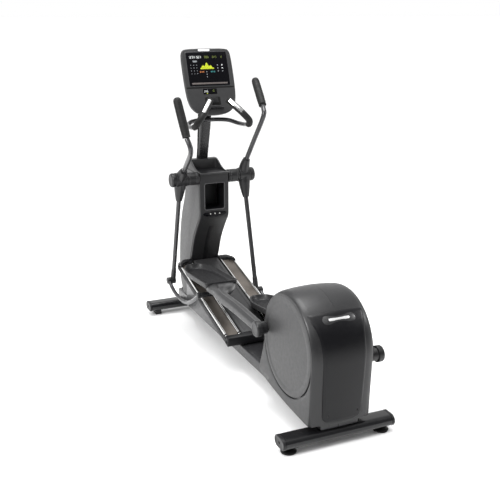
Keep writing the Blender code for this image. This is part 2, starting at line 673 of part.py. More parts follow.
def console():
    rings = []
    for out, grow in ((-0.085, -0.070), (-0.075, -0.045), (-0.050, -0.018), (-0.022, -0.002), (-0.0124, 0.0)):
        rings.append([console_point(x, u, out) for x, u in console_outline(grow)])
    loft("console_back_shell", rings, charcoal(), smooth=True)
    rings = []
    for out, grow in ((-0.012, 0.0), (-0.004, 0.0), (0.0, -0.005)):
        rings.append([console_point(x, u, out) for x, u in console_outline(grow)])
    face = loft("console_face", rings, charcoal())
    flat_panel("display_lens", -0.128, 0.128, 0.004, 0.208, 0.0004, 0.0024, glass())
    join(face, flat_panel("join_reading_ledge", -0.050, 0.060, -0.135, -0.118, -0.004, 0.022, black_plastic()))


def flat_panel(name, x0, x1, u0, u1, out0, out1, material):
    rings = []
    for out in (out0, out1):
        rings.append([console_point(x, u, out) for x, u in ((x0, u0), (x1, u0), (x1, u1), (x0, u1))])
    return rounded(loft(name, rings, material), 0.0008, 1)


def fixed_handlebar():
    right = [(0.0, 1.612, 1.312), (0.06, 1.609, 1.312), (0.12, 1.575, 1.309), (0.158, 1.520, 1.296), (0.169, 1.445, 1.296), (0.168, 1.3925, 1.3025)]
    path = [(-x, y, z) for x, y, z in right[:0:-1]] + right
    tube("fixed_handlebar", curve_through(path, 4), 0.0125, satin_black(), 14)
    for side, s in (("left", -1), ("right", 1)):
        grip = [(0.1678, 1.3885, 1.3030), (0.1660, 1.367, 1.312), (0.155, 1.352, 1.336), (0.116, 1.366, 1.380), (0.060, 1.418, 1.440), (0.052, 1.425, 1.448)]
        grip = [(s * x, y, z) for x, y, z in grip]
        handle = tube(f"{side}_sensor_grip", curve_through(grip, 3), [0.0150] * 15 + [0.010], rubber(), 14)
        a, b = Vector((s * 0.118, 1.363, 1.378)), Vector((s * 0.060, 1.418, 1.440))
        out = Vector((0, -0.74, 0.67))
        along = (b - a).normalized()
        out = (out - along * out.dot(along)).normalized()
        wide = along.cross(out)
        rings = []
        for p in (a, b):
            ring = []
            for t in np.radians(np.linspace(-50, 50, 5)):
                ring.append(tuple(p + 0.0168 * (math.cos(t) * out + math.sin(t) * wide)))
            ring.append(tuple(p - 0.004 * out))
            rings.append(ring)
        join(handle, loft(f"join_{side}_pulse_sensor", rings, stainless()))


def build():
    clear_scene()
    rear_bar = foot_bar("rear", REAR_BAR_Y, 0.283)
    front_bar = foot_bar("front", FRONT_BAR_Y, 0.306)
    for side, s in (("left", -1), ("right", 1)):
        levelling_foot(f"rear_{side}_levelling_foot", s * FOOT_X, REAR_BAR_Y, rear_bar)
        seat((s * FOOT_X, REAR_BAR_Y, 0), f"rear_{side}_levelling_foot")
        transport_wheel(side, s, front_bar)
        seat((s * WHEEL[0], *WHEEL[1:]), f"{side}_transport_wheel")
    main_frame()
    ramp()
    for side, s in (("left", -1), ("right", 1)):
        housing_half(side, s)
        crank_disc(side, s)
        seat((0, *CRANK), f"{side}_crank_disc")
    rear_panel()
    drive_train()
    seat((0, *CRANK), "crank_axle_pulley")
    seat((0, *SHAFT), "flywheel", "flywheel_shaft")
    tower()
    tower_post()
    top_tray()
    hub_tube()
    for side, s in (("left", -1), ("right", 1)):
        joint = arm(side, s)
        at, pin, roller = pedal(side, s)
        bracket = link_end(joint, at)
        link_bar(side, s, joint, bracket)
        seat((0, *HUB), f"{side}_arm_hub", f"{side}_upper_tube", f"{side}_arm_grip", f"{side}_lower_tube")
        seat(joint, f"{side}_link_bar")
        seat((0, *roller), f"{side}_pedal_arm", f"{side}_footpad", f"{side}_roller", f"{side}_roller_axle")
    console()
    fixed_handlebar()
    stand_on_middle()


def seat(pivot, *names):
    """Puts the origin of these objects on the axis they turn about, without moving their shape."""
    for name in names:
        obj = bpy.data.objects[name]
        obj.data.transform(Matrix.Translation(-Vector(pivot)))
        obj.location = pivot


def stand_on_middle():
    """Hangs every object on one empty that is set back by half the machine's length."""
    base = bpy.data.objects.new("elliptical_trainer", None)
    for obj in list(bpy.context.scene.collection.objects):
        obj.parent = base
    bpy.context.scene.collection.objects.link(base)
    base.location = (0, -MIDDLE_Y, 0)


def link_end(joint, at):
    """The rear pivot of a link bar, LINK_LENGTH from the lower joint towards the stud of the pedal arm."""
    front = np.array(joint)
    reach = np.array(at(0.0, LINK_ALONG, LINK_HIGH)) - front
    reach[0] = 0
    return tuple(front + reach / np.linalg.norm(reach) * LINK_LENGTH)


build()
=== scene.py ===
"""Elliptical trainer: the finish of every piece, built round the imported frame, from the floor up."""

import json
import math

import bmesh
import bpy
import numpy as np
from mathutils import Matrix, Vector


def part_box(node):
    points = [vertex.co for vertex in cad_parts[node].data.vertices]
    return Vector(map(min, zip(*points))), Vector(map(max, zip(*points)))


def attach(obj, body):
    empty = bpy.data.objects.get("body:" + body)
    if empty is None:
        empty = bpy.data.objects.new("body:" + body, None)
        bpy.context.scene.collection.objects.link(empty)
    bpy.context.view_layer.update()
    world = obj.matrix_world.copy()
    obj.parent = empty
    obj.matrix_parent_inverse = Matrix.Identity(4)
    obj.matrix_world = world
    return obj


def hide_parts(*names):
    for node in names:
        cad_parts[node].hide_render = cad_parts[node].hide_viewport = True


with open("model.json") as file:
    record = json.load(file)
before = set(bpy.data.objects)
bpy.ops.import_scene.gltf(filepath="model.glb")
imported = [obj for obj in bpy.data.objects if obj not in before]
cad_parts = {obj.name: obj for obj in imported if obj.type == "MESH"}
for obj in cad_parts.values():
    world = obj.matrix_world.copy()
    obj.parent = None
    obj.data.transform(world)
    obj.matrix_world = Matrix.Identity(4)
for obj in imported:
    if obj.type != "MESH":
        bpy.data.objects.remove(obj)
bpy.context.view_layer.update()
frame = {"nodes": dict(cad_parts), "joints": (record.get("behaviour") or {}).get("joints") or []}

# Camera: stands behind the machine on the user's left, a little above the console, and looks down along it.
camera_data = bpy.data.cameras.new("camera")
camera_data.lens = 57.08
camera_data.sensor_width = 36.0
camera = bpy.data.objects.new("camera", camera_data)
camera.location = (-1.7191, -3.8203, 1.9204)
camera.rotation_euler = (math.radians(90 - 16.57), 0.0, math.radians(-24.05))
bpy.context.scene.collection.objects.link(camera)
bpy.context.scene.camera = camera

# Foot bars: two oblong steel tubes in satin black paint, closed with moulded caps that a single screw holds.
# The main frame is bolted on top of them. All sizes along the machine are measured from the rear bar.
bar_low, bar_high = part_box("rear_foot_bar")
REAR = (bar_low.y + bar_high.y) / 2
BAR_MIDDLE = (bar_low.z + bar_high.z) / 2
BAR_ROUND = (bar_high.z - bar_low.z) / 2
BAR_HALF_DEPTH = (bar_high.y - bar_low.y) / 2
# Pieces that come in pairs are made by one loop, where s is the sign of X on that side.
SIDES = (("left", -1), ("right", 1))


def closed_skin(name, rings, material, wrap=False, crease=38.0):
    """A closed mesh over an array of rings (ring, point, xyz). Point j joins point j + 1 of its ring and
    point j of the next ring. The end rings are filled, or joined to each other when wrap. Edges sharper than
    crease stay sharp."""
    rings = np.asarray(rings, float)
    count, size = rings.shape[:2]
    near = (np.arange(count if wrap else count - 1)[:, None] * size + np.arange(size)).ravel()
    turn = (near // size) * size + (near + 1) % size
    ahead = (near + size) % (count * size)
    across = (turn + size) % (count * size)
    faces = np.stack([near, turn, across, ahead], axis=1).tolist()
    if not wrap:
        faces += [list(range(size)), list(range((count - 1) * size, count * size))]
    mesh = bpy.data.meshes.new(name)
    mesh.from_pydata(rings.reshape(-1, 3).tolist(), [], faces)
    return finished(name, mesh, material, crease)


def finished(name, mesh, material, crease=38.0):
    """The mesh as an object, with doubles merged, faces turned outwards, shaded smooth but for its sharp
    edges."""
    shape = bmesh.new()
    shape.from_mesh(mesh)
    bmesh.ops.remove_doubles(shape, verts=shape.verts, dist=1e-6)
    bmesh.ops.recalc_face_normals(shape, faces=shape.faces)
    if shape.calc_volume(signed=True) < 0:
        bmesh.ops.reverse_faces(shape, faces=shape.faces)
    shape.to_mesh(mesh)
    shape.free()
    mesh.materials.append(material)
    mesh.shade_smooth()
    mesh.set_sharp_from_angle(angle=math.radians(crease))
    piece = bpy.data.objects.new(name, mesh)
    bpy.context.scene.collection.objects.link(piece)
    return piece


def fit(piece, body, slot, *nodes):
    """The piece rides on a body and stands for these CAD nodes, which are hidden. The slot is not used."""
    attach(piece, body)
    if nodes:
        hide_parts(*nodes)
    return piece


def surface(
    name, colour, rough, metal=0.0, grain=900.0, relief=0.08, drift=0.08, wear=0.0, coat=0.0,
    stretch=(1, 1, 1), shine=0.5
):
    """A finish: colour drifts by `drift` over the piece in soft clouds, roughness wanders with it, a noise
    of `grain` cells per metre gives the moulded or sprayed relief, and `wear` lightens small rubbed patches.
    `stretch` scales the grain along each axis, as brushing does, and `shine` is the strength of the plain
    reflection."""
    material = bpy.data.materials.new(name)
    material.use_nodes = True
    nodes, links = material.node_tree.nodes, material.node_tree.links
    shader = nodes["Principled BSDF"]
    shader.inputs["Metallic"].default_value = metal
    shader.inputs["Coat Weight"].default_value = coat
    shader.inputs["Coat Roughness"].default_value = 0.25
    shader.inputs["Specular IOR Level"].default_value = shine
    place = nodes.new("ShaderNodeTexCoord").outputs["Object"]

    def noise(scale, detail, mapped=False):
        made = nodes.new("ShaderNodeTexNoise")
        made.inputs["Scale"].default_value = scale
        made.inputs["Detail"].default_value = detail
        if mapped:
            mapping = nodes.new("ShaderNodeMapping")
            mapping.inputs["Scale"].default_value = stretch
            links.new(place, mapping.inputs["Vector"])
            links.new(mapping.outputs["Vector"], made.inputs["Vector"])
        else:
            links.new(place, made.inputs["Vector"])
        return made.outputs["Fac"]

    def ranged(value, low, high, to_low, to_high):
        made = nodes.new("ShaderNodeMapRange")
        for label, number in (
            ("From Min", low), ("From Max", high), ("To Min", to_low), ("To Max", to_high)
        ):
            made.inputs[label].default_value = number
        links.new(value, made.inputs["Value"])
        return made.outputs["Result"]

    def mixed(factor, first, second):
        made = nodes.new("ShaderNodeMix")
        made.data_type = "RGBA"
        links.new(factor, made.inputs["Factor"])
        for socket, value in ((made.inputs["A"], first), (made.inputs["B"], second)):
            if isinstance(value, tuple):
                socket.default_value = (*value, 1.0)
            else:
                links.new(value, socket)
        return made.outputs["Result"]

    clouds = noise(5.0, 4.0)
    dark = tuple(c * (1 - drift) for c in colour)
    light = tuple(c * (1 + drift) for c in colour)
    tone = mixed(ranged(clouds, 0.3, 0.7, 0.0, 1.0), dark, light)
    if wear:
        rubbed = ranged(noise(38.0, 6.0), 0.60, 0.74, 0.0, wear)
        tone = mixed(rubbed, tone, tuple(min(1.0, 1.5 * c + 0.004) for c in colour))
    links.new(tone, shader.inputs["Base Color"])
    links.new(
        ranged(noise(60.0, 3.0, True), 0.3, 0.7, rough * 0.88, rough * 1.12), shader.inputs["Roughness"]
    )
    bump = nodes.new("ShaderNodeBump")
    bump.inputs["Strength"].default_value = relief
    bump.inputs["Distance"].default_value = 0.0006
    links.new(noise(grain, 2.0, True), bump.inputs["Height"])
    links.new(bump.outputs["Normal"], shader.inputs["Normal"])
    return material


def oblong(grow):
    """The bar's section as (y, z) pairs: two half circles joined by straight runs, `grow` larger all
    round."""
    turn = np.linspace(-math.pi / 2, math.pi / 2, 24)
    reach = BAR_HALF_DEPTH - BAR_ROUND
    round_y = (BAR_ROUND + grow) * np.cos(turn)
    round_z = (BAR_ROUND + grow) * np.sin(turn)
    front = np.stack([reach + round_y, BAR_MIDDLE + round_z], axis=1)
    back = np.stack([-reach - round_y, BAR_MIDDLE - round_z], axis=1)
    return np.vstack([front, back])


def across(stations, outlines, centre_y=0.0):
    """Rings standing square to X: one (y, z) outline at each x of stations."""
    return np.array([np.insert(o + (centre_y, 0.0), 0, x, axis=1) for x, o in zip(stations, outlines)])


bar_paint = surface(
    "satin_black_bar_paint", (0.010, 0.010, 0.011), 0.24, metal=0.2, grain=420.0, relief=0.03, wear=0.05,
    coat=0.25, shine=0.35
)
cap_plastic = surface(
    "black_cap_plastic", (0.010, 0.010, 0.011), 0.40, grain=800.0, relief=0.10, drift=0.10, wear=0.05,
    shine=0.3
)
for end in ("rear", "front"):
    low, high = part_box(f"{end}_foot_bar")
    middle_y = (low.y + high.y) / 2
    stations = np.array([low.x, low.x + 0.0015, high.x - 0.0015, high.x])
    shape = across(stations, [oblong(g) for g in (-0.0015, 0.0, 0.0, -0.0015)], middle_y)
    fit(closed_skin(f"{end}_bar_tube", shape, bar_paint), "frame", "satin_black_paint", f"{end}_foot_bar")
    for side, s in SIDES:
        low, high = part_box(f"{end}_bar_cap_{side}")
        root, tip = (high.x, low.x) if s < 0 else (low.x, high.x)
        turn = np.arctan2(oblong(0.001)[:, 1] - BAR_MIDDLE, oblong(0.001)[:, 0])
        hole = np.stack([0.0075 * np.cos(turn), BAR_MIDDLE + 0.0075 * np.sin(turn)], axis=1)
        steps = [(root, oblong(0.0008)), (tip - s * 0.005, oblong(0.0008)), (tip - s * 0.002, oblong(0.0))]
        steps += [
            (tip - s * 0.0005, oblong(-0.0022)), (tip, oblong(-0.005)), (tip - s * 0.0012, oblong(-0.008))
        ]
        steps += [(tip - s * 0.0012, 0.35 * oblong(-0.012) + 0.65 * hole), (tip - s * 0.0012, hole)]
        steps += [(tip - s * 0.005, 0.9 * (hole - (0, BAR_MIDDLE)) + (0, BAR_MIDDLE))]
        shape = across([x for x, _ in steps], [o for _, o in steps], middle_y)
        cap = closed_skin(f"{end}_{side}_bar_cap", shape, cap_plastic)
        fit(cap, "frame", "black_plastic", f"{end}_bar_cap_{side}")

# Levelling feet: a moulded rubber pad on a threaded zinc stem with a lock nut, screwed up into the rear bar.


def turned(name, profile, centre, axis, material, sides=48, crease=38.0):
    """A turned body: `profile` holds (along, radius) pairs, `along` measured from `centre` down the axis. A
    point is centre + along * axis + radius * (cos t * u + sin t * v), with u and v square to the axis."""
    axis = np.array(axis, float) / np.linalg.norm(axis)
    u = np.cross(axis, (0.0, 0.0, 1.0) if abs(axis[2]) < 0.9 else (0.0, 1.0, 0.0))
    u /= np.linalg.norm(u)
    v = np.cross(axis, u)
    turn = np.arange(sides) * 2 * math.pi / sides
    wheel = np.cos(turn)[:, None] * u + np.sin(turn)[:, None] * v
    profile = np.array(profile, float)
    rings = np.array(centre, float) + profile[:, 0, None, None] * axis + profile[:, 1, None, None] * wheel
    return closed_skin(name, rings, material, crease=crease)


def eased(points, radius, steps=4, loop=False):
    """The line through the points with each corner rounded: a corner is replaced by the curve (1-t)^2 a +
    2t(1-t) p + t^2 b between points `radius` before and after it, or half a side where that is shorter."""
    p = np.array(points, float)
    radius = np.broadcast_to(radius, (len(p),))
    t = np.linspace(0, 1, steps + 1)[:, None]
    out = []
    for i in range(len(p)):
        if not loop and i in (0, len(p) - 1):
            out.append(p[i : i + 1])
            continue
        before, after = p[i - 1] - p[i], p[(i + 1) % len(p)] - p[i]
        a = p[i] + before * min(radius[i] / np.linalg.norm(before), 0.5)
        b = p[i] + after * min(radius[i] / np.linalg.norm(after), 0.5)
        out.append((1 - t) ** 2 * a + 2 * t * (1 - t) * p[i] + t**2 * b)
    return np.vstack(out)


foot_rubber = surface(
    "foot_rubber", (0.007, 0.007, 0.007), 0.62, grain=500.0, relief=0.2, drift=0.15, wear=0.05, shine=0.3
)
zinc = surface("zinc_plate", (0.52, 0.52, 0.50), 0.32, metal=1.0, relief=0.1)
for side, s in SIDES:
    low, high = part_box(f"rear_{side}_levelling_foot")
    foot = ((low.x + high.x) / 2, (low.y + high.y) / 2, 0.0)
    pad_radius = 0.038
    pad = [(0, 0.0005), (0, pad_radius - 0.002), (0.006, pad_radius), (0.0095, pad_radius - 0.001)]
    pad = eased([*pad, (0.0105, pad_radius - 0.006), (0.0165, 0.020), (0.0168, 0.0065)], 0.0025)
    fit(turned(f"{side}_foot_pad", pad, foot, (0, 0, 1), foot_rubber), f"{side}_foot", "black_rubber")
    ridge = np.arange(0.017, high.z, 0.0011)
    thread = [(z, 0.0059 if i % 2 else 0.0052) for i, z in enumerate(ridge)]
    stem = turned(f"{side}_foot_stem", thread, foot, (0, 0, 1), zinc, 24, 60.0)
    fit(stem, f"{side}_foot", "bare_steel", f"rear_{side}_levelling_foot")
    nut = eased([(0.0175, 0.0065), (0.0175, 0.0115), (0.0245, 0.0115), (0.0245, 0.0065)], 0.001, 2)
    fit(turned(f"{side}_foot_nut", nut, foot, (0, 0, 1), zinc, 6), f"{side}_foot", "bare_steel")

# Front feet: a moulded block under each end of the front bar, slotted for a small transport wheel that meets
# the floor only when the machine is tipped forwards.
block_plastic = surface(
    "foot_block_plastic", (0.010, 0.010, 0.011), 0.5, grain=700.0, relief=0.15, drift=0.12, wear=0.1,
    shine=0.3
)


def slab(name, outline, low_x, high_x, material, edge=0.003, steps=3, crease=38.0):
    """A plate square to X with a (y, z) outline and edges rounded by `edge`: near each face the outline is
    pulled in by edge * (1 - cos a) while x moves by edge * (1 - sin a)."""
    outline = np.array(outline, float)
    angle = np.linspace(0, math.pi / 2, steps + 1)
    pulled = edge * (1 - np.sin(angle))
    inward = edge * (1 - np.cos(angle))
    x = np.concatenate([low_x + inward, high_x - inward[::-1]])
    pull = np.concatenate([pulled, pulled[::-1]])
    return closed_skin(name, across(x, [drawn_in(outline, d) for d in pull]), material, crease=crease)


def drawn_in(outline, distance):
    """The closed outline moved inwards: each point goes along the mean of its two sides' normals."""
    ahead = np.roll(outline, -1, axis=0) - outline
    ahead /= np.linalg.norm(ahead, axis=1)[:, None] + 1e-12
    behind = np.roll(ahead, 1, axis=0)
    normal = np.column_stack([-(ahead + behind)[:, 1], (ahead + behind)[:, 0]])
    normal /= np.maximum((normal**2).sum(axis=1), 0.4)[:, None] / 2
    y, z = outline[:, 0], outline[:, 1]
    area = np.sum(y * np.roll(z, -1) - z * np.roll(y, -1))
    return outline + np.sign(area) * distance * normal


for side, s in SIDES:
    low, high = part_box(f"{side}_transport_wheel")
    x, y, z = (low + high) / 2
    for part, shift in (("outer", s * 0.0148), ("inner", -s * 0.0148)):
        cheek = [
            (y - 0.056, 0.0), (y + 0.012, 0.0), (y + 0.020, 0.010), (y + 0.020, 0.044), (y - 0.056, 0.044)
        ]
        cheek = eased(cheek, 0.006, 3, loop=True)
        block = slab(
            f"{side}_foot_block_{part}", cheek, x + shift - 0.0032, x + shift + 0.0032, block_plastic, 0.001
        )
        fit(block, "frame", "black_plastic")
    heel = eased(
        [(y - 0.056, 0.0), (y - 0.021, 0.0), (y - 0.019, 0.044), (y - 0.056, 0.044)], 0.003, 3, loop=True
    )
    fit(
        slab(f"{side}_foot_heel", heel, x - 0.0135, x + 0.0135, block_plastic, 0.001), "frame",
        "black_plastic"
    )
    tread = eased(
        [(low.x - x, 0.004), (low.x - x, 0.0098), (0, 0.0100), (high.x - x, 0.0098), (high.x - x, 0.004)],
        0.0015, 3
    )
    wheel = turned(f"{side}_floor_wheel_tread", tread, (x, y, z), (1, 0, 0), foot_rubber, 36)
    fit(wheel, f"{side}_floor_wheel", "black_rubber", f"{side}_transport_wheel")
    pin = turned(
        f"{side}_floor_wheel_pin", [(-0.0178, 0.003), (0.0178, 0.003)], (x, y, z), (1, 0, 0), zinc, 16
    )
    fit(pin, f"{side}_floor_wheel", "bare_steel")

# Main frame: one welded steel box beam in gunmetal powder coat, bolted down on both foot bars.
low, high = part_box("main_frame")
gunmetal = surface(
    "gunmetal_paint", (0.026, 0.026, 0.028), 0.30, metal=0.25, grain=420.0, relief=0.03, drift=0.10,
    wear=0.06, coat=0.2, shine=0.4
)
beam = eased([(low.x, low.z), (high.x, low.z), (high.x, high.z), (low.x, high.z)], 0.012, 5, loop=True)
stations = [
    (low.y, 0.004), (low.y + 0.0012, 0.0012), (low.y + 0.004, 0.0), (high.y - 0.004, 0.0),
    (high.y - 0.0012, 0.0012), (high.y, 0.004)
]
rings = [np.insert(drawn_in(beam, pull), 1, y, axis=1) for y, pull in stations]
fit(closed_skin("main_beam", rings, gunmetal), "frame", "gunmetal_paint", "main_frame")


def bolt(name, at, axis, radius, body, material):
    """A button-head screw: a domed head with a round socket, standing on the surface at `at`."""
    dome = [
        (0, radius), (0.25 * radius, 0.98 * radius), (0.6 * radius, 0.78 * radius),
        (0.72 * radius, 0.52 * radius)
    ]
    head = turned(f"{name}_head", dome + [(0.30 * radius, 0.48 * radius)], at, axis, material, 24)
    return fit(head, body, "bare_steel")


dark_zinc = surface(
    "black_zinc_screws", (0.035, 0.035, 0.036), 0.35, metal=0.8, relief=0.1, drift=0.1, wear=0.2
)
for i, (x, y) in enumerate(((-0.07, 1.915), (0.07, 1.915), (-0.07, 1.942), (0.07, 1.942))):
    bolt(f"front_frame_screw_{i}", (x, REAR + y, high.z - 0.0005), (0, 0, 1), 0.0085, "frame", dark_zinc)

# Ramp: a moulded deck on a welded stand. Each roller runs on a brushed stainless track between two bright
# rails. A cover lies between the tracks. One black cap closes the foot, and two corner caps close the head.
RAMP_RISE = 0.256
rail_low, rail_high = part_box("left_roller_track")
deck_low, deck_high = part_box("ramp_deck")
RAMP_FOOT = rail_low.y - REAR
RAMP_HEAD = rail_high.y - REAR
RAIL_LINE = rail_high.z + 0.002 - 0.0068 - RAMP_RISE * RAMP_HEAD


def on_ramp(y, lift):
    """(y, z) of a point `lift` above the line of the rails, at this distance ahead of the rear bar."""
    return (REAR + y, RAIL_LINE + RAMP_RISE * y + lift)


def ramp_strip(start, end, low, high):
    """The corners of a strip of the ramp between two distances and two lifts."""
    return [on_ramp(start, low), on_ramp(end, low), on_ramp(end, high), on_ramp(start, high)]


deck_plastic = surface(
    "ramp_deck_plastic", (0.012, 0.012, 0.013), 0.50, grain=650.0, relief=0.12, drift=0.10, wear=0.06,
    shine=0.3
)
cover_plastic = surface(
    "ramp_cover_plastic", (0.034, 0.034, 0.035), 0.44, grain=650.0, relief=0.12, wear=0.06, shine=0.35
)
black_moulding = surface(
    "black_moulding", (0.005, 0.005, 0.006), 0.42, grain=700.0, relief=0.12, drift=0.10, wear=0.05,
    shine=0.25
)
half = deck_high.x
deck = slab(
    "ramp_deck_shell",
    eased(ramp_strip(RAMP_FOOT - 0.036, RAMP_HEAD + 0.010, -0.045, -0.0142), 0.008, 3, True), -half, half,
    deck_plastic, 0.004
)
fit(deck, "frame", "charcoal_plastic", "ramp_deck")
floor_line = deck_low.z
stand = [(REAR + 0.905, floor_line), (REAR + 1.66, floor_line), on_ramp(1.66, -0.04), on_ramp(0.905, -0.04)]
fit(
    slab("ramp_stand", eased(stand, 0.006, 3, True), -0.080, 0.080, gunmetal, 0.006), "frame",
    "gunmetal_paint"
)
for side, s in SIDES:
    web = [
        (REAR + 1.02, floor_line), (REAR + 1.62, floor_line), on_ramp(1.62, -0.040), on_ramp(1.02, -0.040)
    ]
    low_x, high_x = sorted((s * 0.150, s * 0.156))
    fit(
        slab(f"{side}_ramp_web", eased(web, 0.010, 3, True), low_x, high_x, gunmetal, 0.0015), "frame",
        "gunmetal_paint"
    )
foot_cap = eased(ramp_strip(RAMP_FOOT - 0.048 + 0.010, RAMP_FOOT - 0.0025, -0.042, 0.0065), 0.010, 4, True)
fit(slab("ramp_foot_cap", foot_cap, -half, half, black_moulding, 0.008, 4), "frame", "black_plastic")
for side, s in SIDES:
    head = RAMP_HEAD + 0.010
    corner = [
        (0.082, head - 0.010), (0.098, head - 0.034), (half - 0.030, head - 0.040),
        (half - 0.004, head - 0.074)
    ]
    corner += [(half, head - 0.070), (half, head - 0.046), (half - 0.034, head), (0.082, head)]
    corner = eased(corner, np.array([0.002, 0.015, 0.012, 0.002, 0.002, 0.014, 0.018, 0.002]), 5, True)
    rings = []
    for shrink, lift in ((0.0, -0.030), (0.0, 0.0095), (0.0012, 0.0118), (0.0035, 0.0125)):
        shape = drawn_in(corner, shrink)
        y, z = on_ramp(shape[:, 1], lift)
        rings.append(np.column_stack([s * shape[:, 0], y, z]))
    fit(closed_skin(f"ramp_{side}_corner_cap", rings, black_moulding), "frame", "black_plastic")
cover_low, cover_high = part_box("ramp_centre_cover")
cover = eased(ramp_strip(RAMP_FOOT, RAMP_HEAD - 0.001, -0.0136, 0.0062), 0.006, 4, True)
fit(
    slab("ramp_cover_shell", cover, cover_low.x, cover_high.x, cover_plastic, 0.006, 4), "frame",
    "charcoal_plastic", "ramp_centre_cover"
)
rib = eased(ramp_strip(RAMP_FOOT + 0.012, RAMP_HEAD - 0.012, 0.0062, 0.0078), 0.003, 3, True)
for side, s in SIDES:
    low_x, high_x = sorted((s * 0.060, s * 0.0645))
    fit(
        slab(f"ramp_cover_{side}_rib", rib, low_x, high_x, cover_plastic, 0.0006, 2), "frame",
        "charcoal_plastic"
    )

track_steel = surface(
    "brushed_track_steel", (0.150, 0.132, 0.115), 0.42, metal=0.7, grain=260.0, relief=0.25, drift=0.30,
    wear=0.30, stretch=(14, 0.6, 0.6)
)
rail_steel = surface(
    "polished_rail_steel", (0.86, 0.86, 0.85), 0.12, metal=1.0, grain=700.0, relief=0.05, drift=0.05
)
for side, s in SIDES:
    low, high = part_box(f"{side}_roller_track")
    strip = ramp_strip(RAMP_FOOT, RAMP_HEAD - 0.001, -0.0136, -0.004)
    track = slab(f"{side}_track", strip, low.x + 0.014, high.x - 0.014, track_steel, 0.0008, 2)
    fit(track, "frame", "stainless_rail", f"{side}_roller_track")
    for place, x in (("inner", s * 0.098), ("outer", s * 0.178)):
        foot_y, foot_z = on_ramp(RAMP_FOOT, -0.002)
        length = (RAMP_HEAD - 0.001 - RAMP_FOOT) * math.hypot(1, RAMP_RISE)
        profile = eased([(0, 0.001), (0, 0.0069), (length, 0.0069), (length, 0.001)], 0.0012, 3)
        rail = turned(
            f"{side}_{place}_rail", profile, (x, foot_y, foot_z), (0, 1, RAMP_RISE), rail_steel, 28
        )
        fit(rail, "frame", "stainless_rail")
        for end, place_y in (("foot", RAMP_FOOT + 0.004), ("head", RAMP_HEAD - 0.014)):
            collar = eased([(0, 0.006), (0, 0.0085), (0.010, 0.0085), (0.010, 0.006)], 0.001, 2)
            y, z = on_ramp(place_y, -0.002)
            name = f"{side}_{place}_rail_{end}_collar"
            fit(
                turned(name, collar, (x, y, z), (0, 1, RAMP_RISE), black_moulding, 24), "frame",
                "black_plastic"
            )

# Drive housing: two moulded halves round the crank, each with a recess for its turning disc. The outline is
# round at the back and top and runs down beside the frame at the front. The halves are crowned towards the
# middle.
disc_low, disc_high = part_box("left_crank_disc")
CRANK = ((disc_low.y + disc_high.y) / 2, (disc_low.z + disc_high.z) / 2)
DISC_RADIUS = (disc_high.z - disc_low.z) / 2
SHELL_RADIUS = 0.262
SHELL_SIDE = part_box("right_housing")[1].x
SHELL_POINTS = 220
SHELL_WALL = 0.006
CROWN_RISE = 0.0105
CROWN_REACH = 0.142
SHOULDER = 0.034
SHOULDER_DROP = 0.019


def shell_outline(radius):
    """The housing's (y, z) outline at SHELL_POINTS places: an arc of this radius round the crank, then the
    front edge, the front foot and the underside, with rounded corners, spaced evenly by length."""
    y, z = CRANK
    turn = np.radians(np.linspace(-6, 188, 60))
    arc = np.column_stack([y - radius * np.cos(turn), z + radius * np.sin(turn)])
    pull = SHELL_RADIUS - radius
    front = [(REAR + 0.480 - pull, 0.318), (REAR + 0.514 - pull, 0.232), (REAR + 0.529 - pull, 0.184)]
    under = [(REAR + 0.500 - pull, 0.167), (REAR + 0.36, 0.144), (REAR + 0.20, 0.126)]
    under += [(REAR + 0.03, 0.116), (y - radius + 0.016, 0.116)]
    corner = [0.0, 0.10, 0.10, 0.012, 0.08, 0.08, 0.06, 0.035, 0.0]
    lower = eased([arc[-1], *front, *under, arc[0]], np.array(corner + [0.0]), 10)
    line = np.vstack([arc, lower[1:-1]])
    loop = np.vstack([line, line[:1]])
    length = np.concatenate([[0], np.cumsum(np.linalg.norm(np.diff(loop, axis=0), axis=1))])
    even = np.linspace(0, length[-1], SHELL_POINTS, endpoint=False)
    return np.column_stack([np.interp(even, length, loop[:, k]) for k in (0, 1)])


def crown(x):
    """Radius of the housing at this distance from the middle plane: a shallow parabola, then a shoulder that
    falls away as a quarter of an ellipse."""
    x = np.abs(x)
    past = np.clip((x - SHELL_SIDE + SHOULDER) / SHOULDER, 0, 1)
    rise = CROWN_RISE * np.maximum(0, 1 - (x / CROWN_REACH) ** 2)
    return SHELL_RADIUS + rise - SHOULDER_DROP * (1 - np.sqrt(1 - past**2))


def round_hole(outline, radius):
    """The circle of this radius round the crank, with one point on the ray to each point of the outline."""
    turn = np.arctan2(outline[:, 1] - CRANK[1], outline[:, 0] - CRANK[0])
    return np.column_stack([CRANK[0] + radius * np.cos(turn), CRANK[1] + radius * np.sin(turn)])


housing_plastic = surface("housing_plastic", (0.015, 0.015, 0.016), 0.36, grain=620.0, wear=0.04, shine=0.40)
places = [0.0004, 0.03, 0.06, 0.09, 0.110, SHELL_SIDE - SHOULDER]
places += [
    SHELL_SIDE - SHOULDER * (1 - math.sin(a)) for a in np.radians((12, 24, 36, 48, 58, 68, 76, 83, 90))
]
skin = [(x, shell_outline(crown(x))) for x in places]
rim = skin[-1][1]
hole = round_hole(rim, DISC_RADIUS + 0.0050)
side_face = ((SHELL_SIDE, 0.5), (SHELL_SIDE - 0.0002, 0.82), (SHELL_SIDE - 0.0006, 0.97))
skin += [(x, rim * (1 - share) + hole * share) for x, share in side_face]
recess = ((0.0022, 0.0050), (0.0095, 0.0048), (0.0096, -0.06), (0.012, -0.06))
skin += [(SHELL_SIDE - sunk, round_hole(rim, DISC_RADIUS + grow)) for sunk, grow in recess]
inside = (SHELL_SIDE - 0.0135, 0.10, 0.0004)
skin += [(x, drawn_in(shell_outline(crown(x) - SHELL_WALL), 0.0015)) for x in inside]
